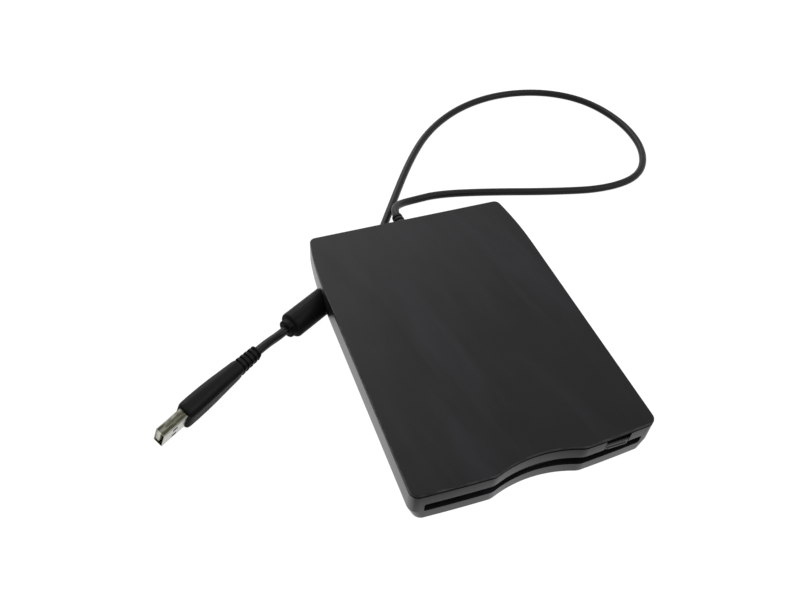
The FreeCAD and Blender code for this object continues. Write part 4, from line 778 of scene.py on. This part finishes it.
def door_coil():
    low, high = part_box("door_spring")
    radius = (high.z - low.z) / MM / 2
    centre = (0, (high.y + low.y) / MM / 2, (high.z + low.z) / MM / 2)
    points, faces = [], []
    add_loft(points, faces, coil_rings(centre, (1, 0, 0), (0, 0, 1), radius - 0.06, 0.055,
                                       low.x / MM, high.x / MM, 2, 28))
    return mesh_piece("door_coil", points, faces, 60)


finish_piece(door_coil(), "case", "spring_steel", "door_spring")


def windings():
    """Twelve windings, with a ridge for each turn of wire."""
    low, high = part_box("stator_coils")
    outer_x = high.x / MM
    inner_x = 8.6
    centre_y = (high.y + low.y) / MM / 2
    z0, z1 = low.z / MM, high.z / MM
    half, ridges, count = 1.7, 20, 12
    points, faces = [], []
    for k in range(count):
        turn = Matrix.Rotation(math.radians(360 / count * k), 4, "Z")
        rings = []
        for step in range(ridges * 4 + 1):
            share = step / (ridges * 4)
            dip = 0.07 * (1 - abs(math.sin(math.pi * ridges * share)))
            x = inner_x + (outer_x - inner_x) * share
            ring = []
            for y, z in ((1, -0.55), (1, 0.55), (0.9, 1), (-0.9, 1), (-1, 0.55), (-1, -0.55),
                         (-0.9, -1), (0.9, -1)):
                spot = Vector((x, y * (half - dip), (z0 + z1) / 2 + z * ((z1 - z0) / 2 - dip)))
                ring.append((turn @ spot + Vector((0, centre_y, 0))) * MM)
            rings.append(ring)
        add_loft(points, faces, rings)
    return mesh_piece("motor_windings", points, faces, 50)


finish_piece(windings(), "case", "copper_wire", "stator_coils")


def ribbon():
    """Flat cable between its two sockets, with a ridge over each conductor."""
    low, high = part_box("flat_cable")
    x0, x1, top = low.x / MM, high.x / MM, high.z / MM
    thick, bend = 0.2, 1.6
    left_low, right_low = 10.0, low.z / MM
    path = [(x0 + thick / 2, left_low, 180)]
    for corner, first in ((x0 + bend, 180), (x1 - bend, 90)):
        for k in range(9):
            a = math.radians(first - 90 * k / 8)
            path.append((corner + math.cos(a) * (bend - thick / 2),
                         top - bend + math.sin(a) * (bend - thick / 2), math.degrees(a)))
    path.append((x1 - thick / 2, right_low, 0))
    y0, y1, conductors = low.y / MM, high.y / MM, 12
    section = []
    steps = conductors * 6
    for sign, order in ((1, range(steps + 1)), (-1, range(steps, -1, -1))):
        for k in order:
            swell = abs(math.sin(math.pi * conductors * k / steps))
            section.append((sign * (0.035 + 0.06 * swell), y0 + (y1 - y0) * k / steps))
    rings = []
    for x, z, heading in path:
        a = math.radians(heading)
        rings.append([Vector((x + n * math.cos(a), y, z + n * math.sin(a))) * MM
                      for n, y in section])
    points, faces = [], []
    add_loft(points, faces, rings)
    return mesh_piece("ribbon_cable", points, faces, 70)


finish_piece(ribbon(), "case", "cable_film", "flat_cable")

# Four wires from the cord's end to their socket, one above the other and fanned out a little

WIRE_RADIUS = 0.33
WIRE_PITCH = 0.8
LOWEST_WIRE_Z = 8.1
for k, cover in enumerate(("wire_cover", "wire_white", "wire_green", "wire_black")):
    z = LOWEST_WIRE_Z + WIRE_PITCH * k
    bow = 0.25 * (k - 1.5) / 1.5
    wire = smooth_curve("inner_wire_" + str(k + 1),
                        [(0, 68.0, z), (0, 66.9, z), (-0.35, 65.4, z), (-2.5, 65.15, z),
                         (-9.0, 65.2, z + bow * 0.3), (-17.0, 65.15, z)], WIRE_RADIUS, 3)
    wire.data.materials.append(surfaces[cover].material)
    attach(wire, "case")
    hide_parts("inner_wires")


def screw_thread():
    """Lead screw with its thread, which lies between the screw's pivot and the motor."""
    low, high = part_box("lead_screw")
    radius = (high.z - low.z) / MM / 2
    centre = ((high.x + low.x) / MM / 2, 0, (high.z + low.z) / MM / 2)
    start, end = low.y / MM, high.y / MM
    pitch = 3.75
    pivot_radius = 0.8
    shoulder = start + 1.4
    profile = [(start, pivot_radius - 0.1), (start + 0.1, pivot_radius),
               (shoulder, pivot_radius), (shoulder + 0.01, radius - 0.3)]
    steps = int((end - shoulder) / 0.12)
    for k in range(steps + 1):
        profile.append((shoulder + 0.1 + (end - shoulder - 0.1) * k / steps, radius))

    def radius_at(along, r, angle):
        if r < radius:
            return r
        phase = (along / pitch + angle / (2 * math.pi)) % 1.0
        return radius - 0.28 * max(0.0, 1 - abs(phase - 0.5) * 5)

    points, faces = [], []
    add_loft(points, faces, lathe_rings(profile, centre, (0, 1, 0), (1, 0, 0), 36, radius_at))
    return mesh_piece("screw_thread", points, faces, 45)


finish_piece(screw_thread(), "screw_rotor", "shaft_steel", "lead_screw")

finish_piece(usb_cord, "case", "cord_black", "usb_cord_loop", "usb_cord_tail")


# Floor, world and lamps

def white_for_views(tree, plain, strength):
    """Mix of a plain shader with white that only camera, glossy and transmission rays see."""
    path = tree.nodes.new("ShaderNodeLightPath")
    total = None
    for name in ("Is Camera Ray", "Is Glossy Ray", "Is Transmission Ray"):
        if total is None:
            total = path.outputs[name]
            continue
        add = tree.nodes.new("ShaderNodeMath")
        add.operation = "MAXIMUM"
        tree.links.new(total, add.inputs[0])
        tree.links.new(path.outputs[name], add.inputs[1])
        total = add.outputs[0]
    scale = tree.nodes.new("ShaderNodeMath")
    scale.operation = "MULTIPLY"
    scale.inputs[1].default_value = strength
    tree.links.new(total, scale.inputs[0])
    mix = tree.nodes.new("ShaderNodeMixShader")
    tree.links.new(scale.outputs[0], mix.inputs["Fac"])
    tree.links.new(plain, mix.inputs[1])
    return mix


FLOOR_HALF = 3.0
floor_data = bpy.data.meshes.new("floor")
floor_data.from_pydata([(-FLOOR_HALF, -FLOOR_HALF, 0), (FLOOR_HALF, -FLOOR_HALF, 0),
                        (FLOOR_HALF, FLOOR_HALF, 0), (-FLOOR_HALF, FLOOR_HALF, 0)],
                       [], [(0, 1, 2, 3)])
floor = link("floor", floor_data)
floor_material = bpy.data.materials.new("floor_white")
floor_material.use_nodes = True
tree = floor_material.node_tree
tree.nodes.clear()
diffuse = tree.nodes.new("ShaderNodeBsdfDiffuse")
diffuse.inputs["Color"].default_value = (0.86, 0.86, 0.86, 1)
glow = tree.nodes.new("ShaderNodeEmission")
glow.inputs["Strength"].default_value = 1.12
mix = white_for_views(tree, diffuse.outputs[0], 0.88)
tree.links.new(glow.outputs[0], mix.inputs[2])
floor_out = tree.nodes.new("ShaderNodeOutputMaterial")
tree.links.new(mix.outputs[0], floor_out.inputs["Surface"])
floor_data.materials.append(floor_material)

world = bpy.data.worlds.new("studio")
bpy.context.scene.world = world
world.use_nodes = True
tree = world.node_tree
tree.nodes.clear()
soft = tree.nodes.new("ShaderNodeBackground")
soft.inputs["Color"].default_value = (0.98, 0.99, 1.0, 1)
soft.inputs["Strength"].default_value = 0.55
white = tree.nodes.new("ShaderNodeBackground")
white.inputs["Color"].default_value = (1, 1, 1, 1)
white.inputs["Strength"].default_value = 1.0
mix = white_for_views(tree, soft.outputs[0], 1.0)
tree.links.new(white.outputs[0], mix.inputs[2])
world_out = tree.nodes.new("ShaderNodeOutputWorld")
tree.links.new(mix.outputs[0], world_out.inputs["Surface"])


def softbox(name, place, size, watts):
    """Square soft lamp that faces the middle of the case."""
    data = bpy.data.lights.new(name, "AREA")
    data.shape = "SQUARE"
    data.size = size
    data.energy = watts
    lamp = link(name, data)
    lamp.location = place
    towards = Vector((0, 0, 0.01)) - Vector(place)
    lamp.rotation_euler = towards.to_track_quat("-Z", "Y").to_euler()


softbox("key_light", (-0.12, 0.72, 0.68), 0.9, 6.0)
softbox("fill_light", (0.6, -0.5, 0.8), 0.8, 3.5)

bpy.context.scene.view_settings.view_transform = "Standard"
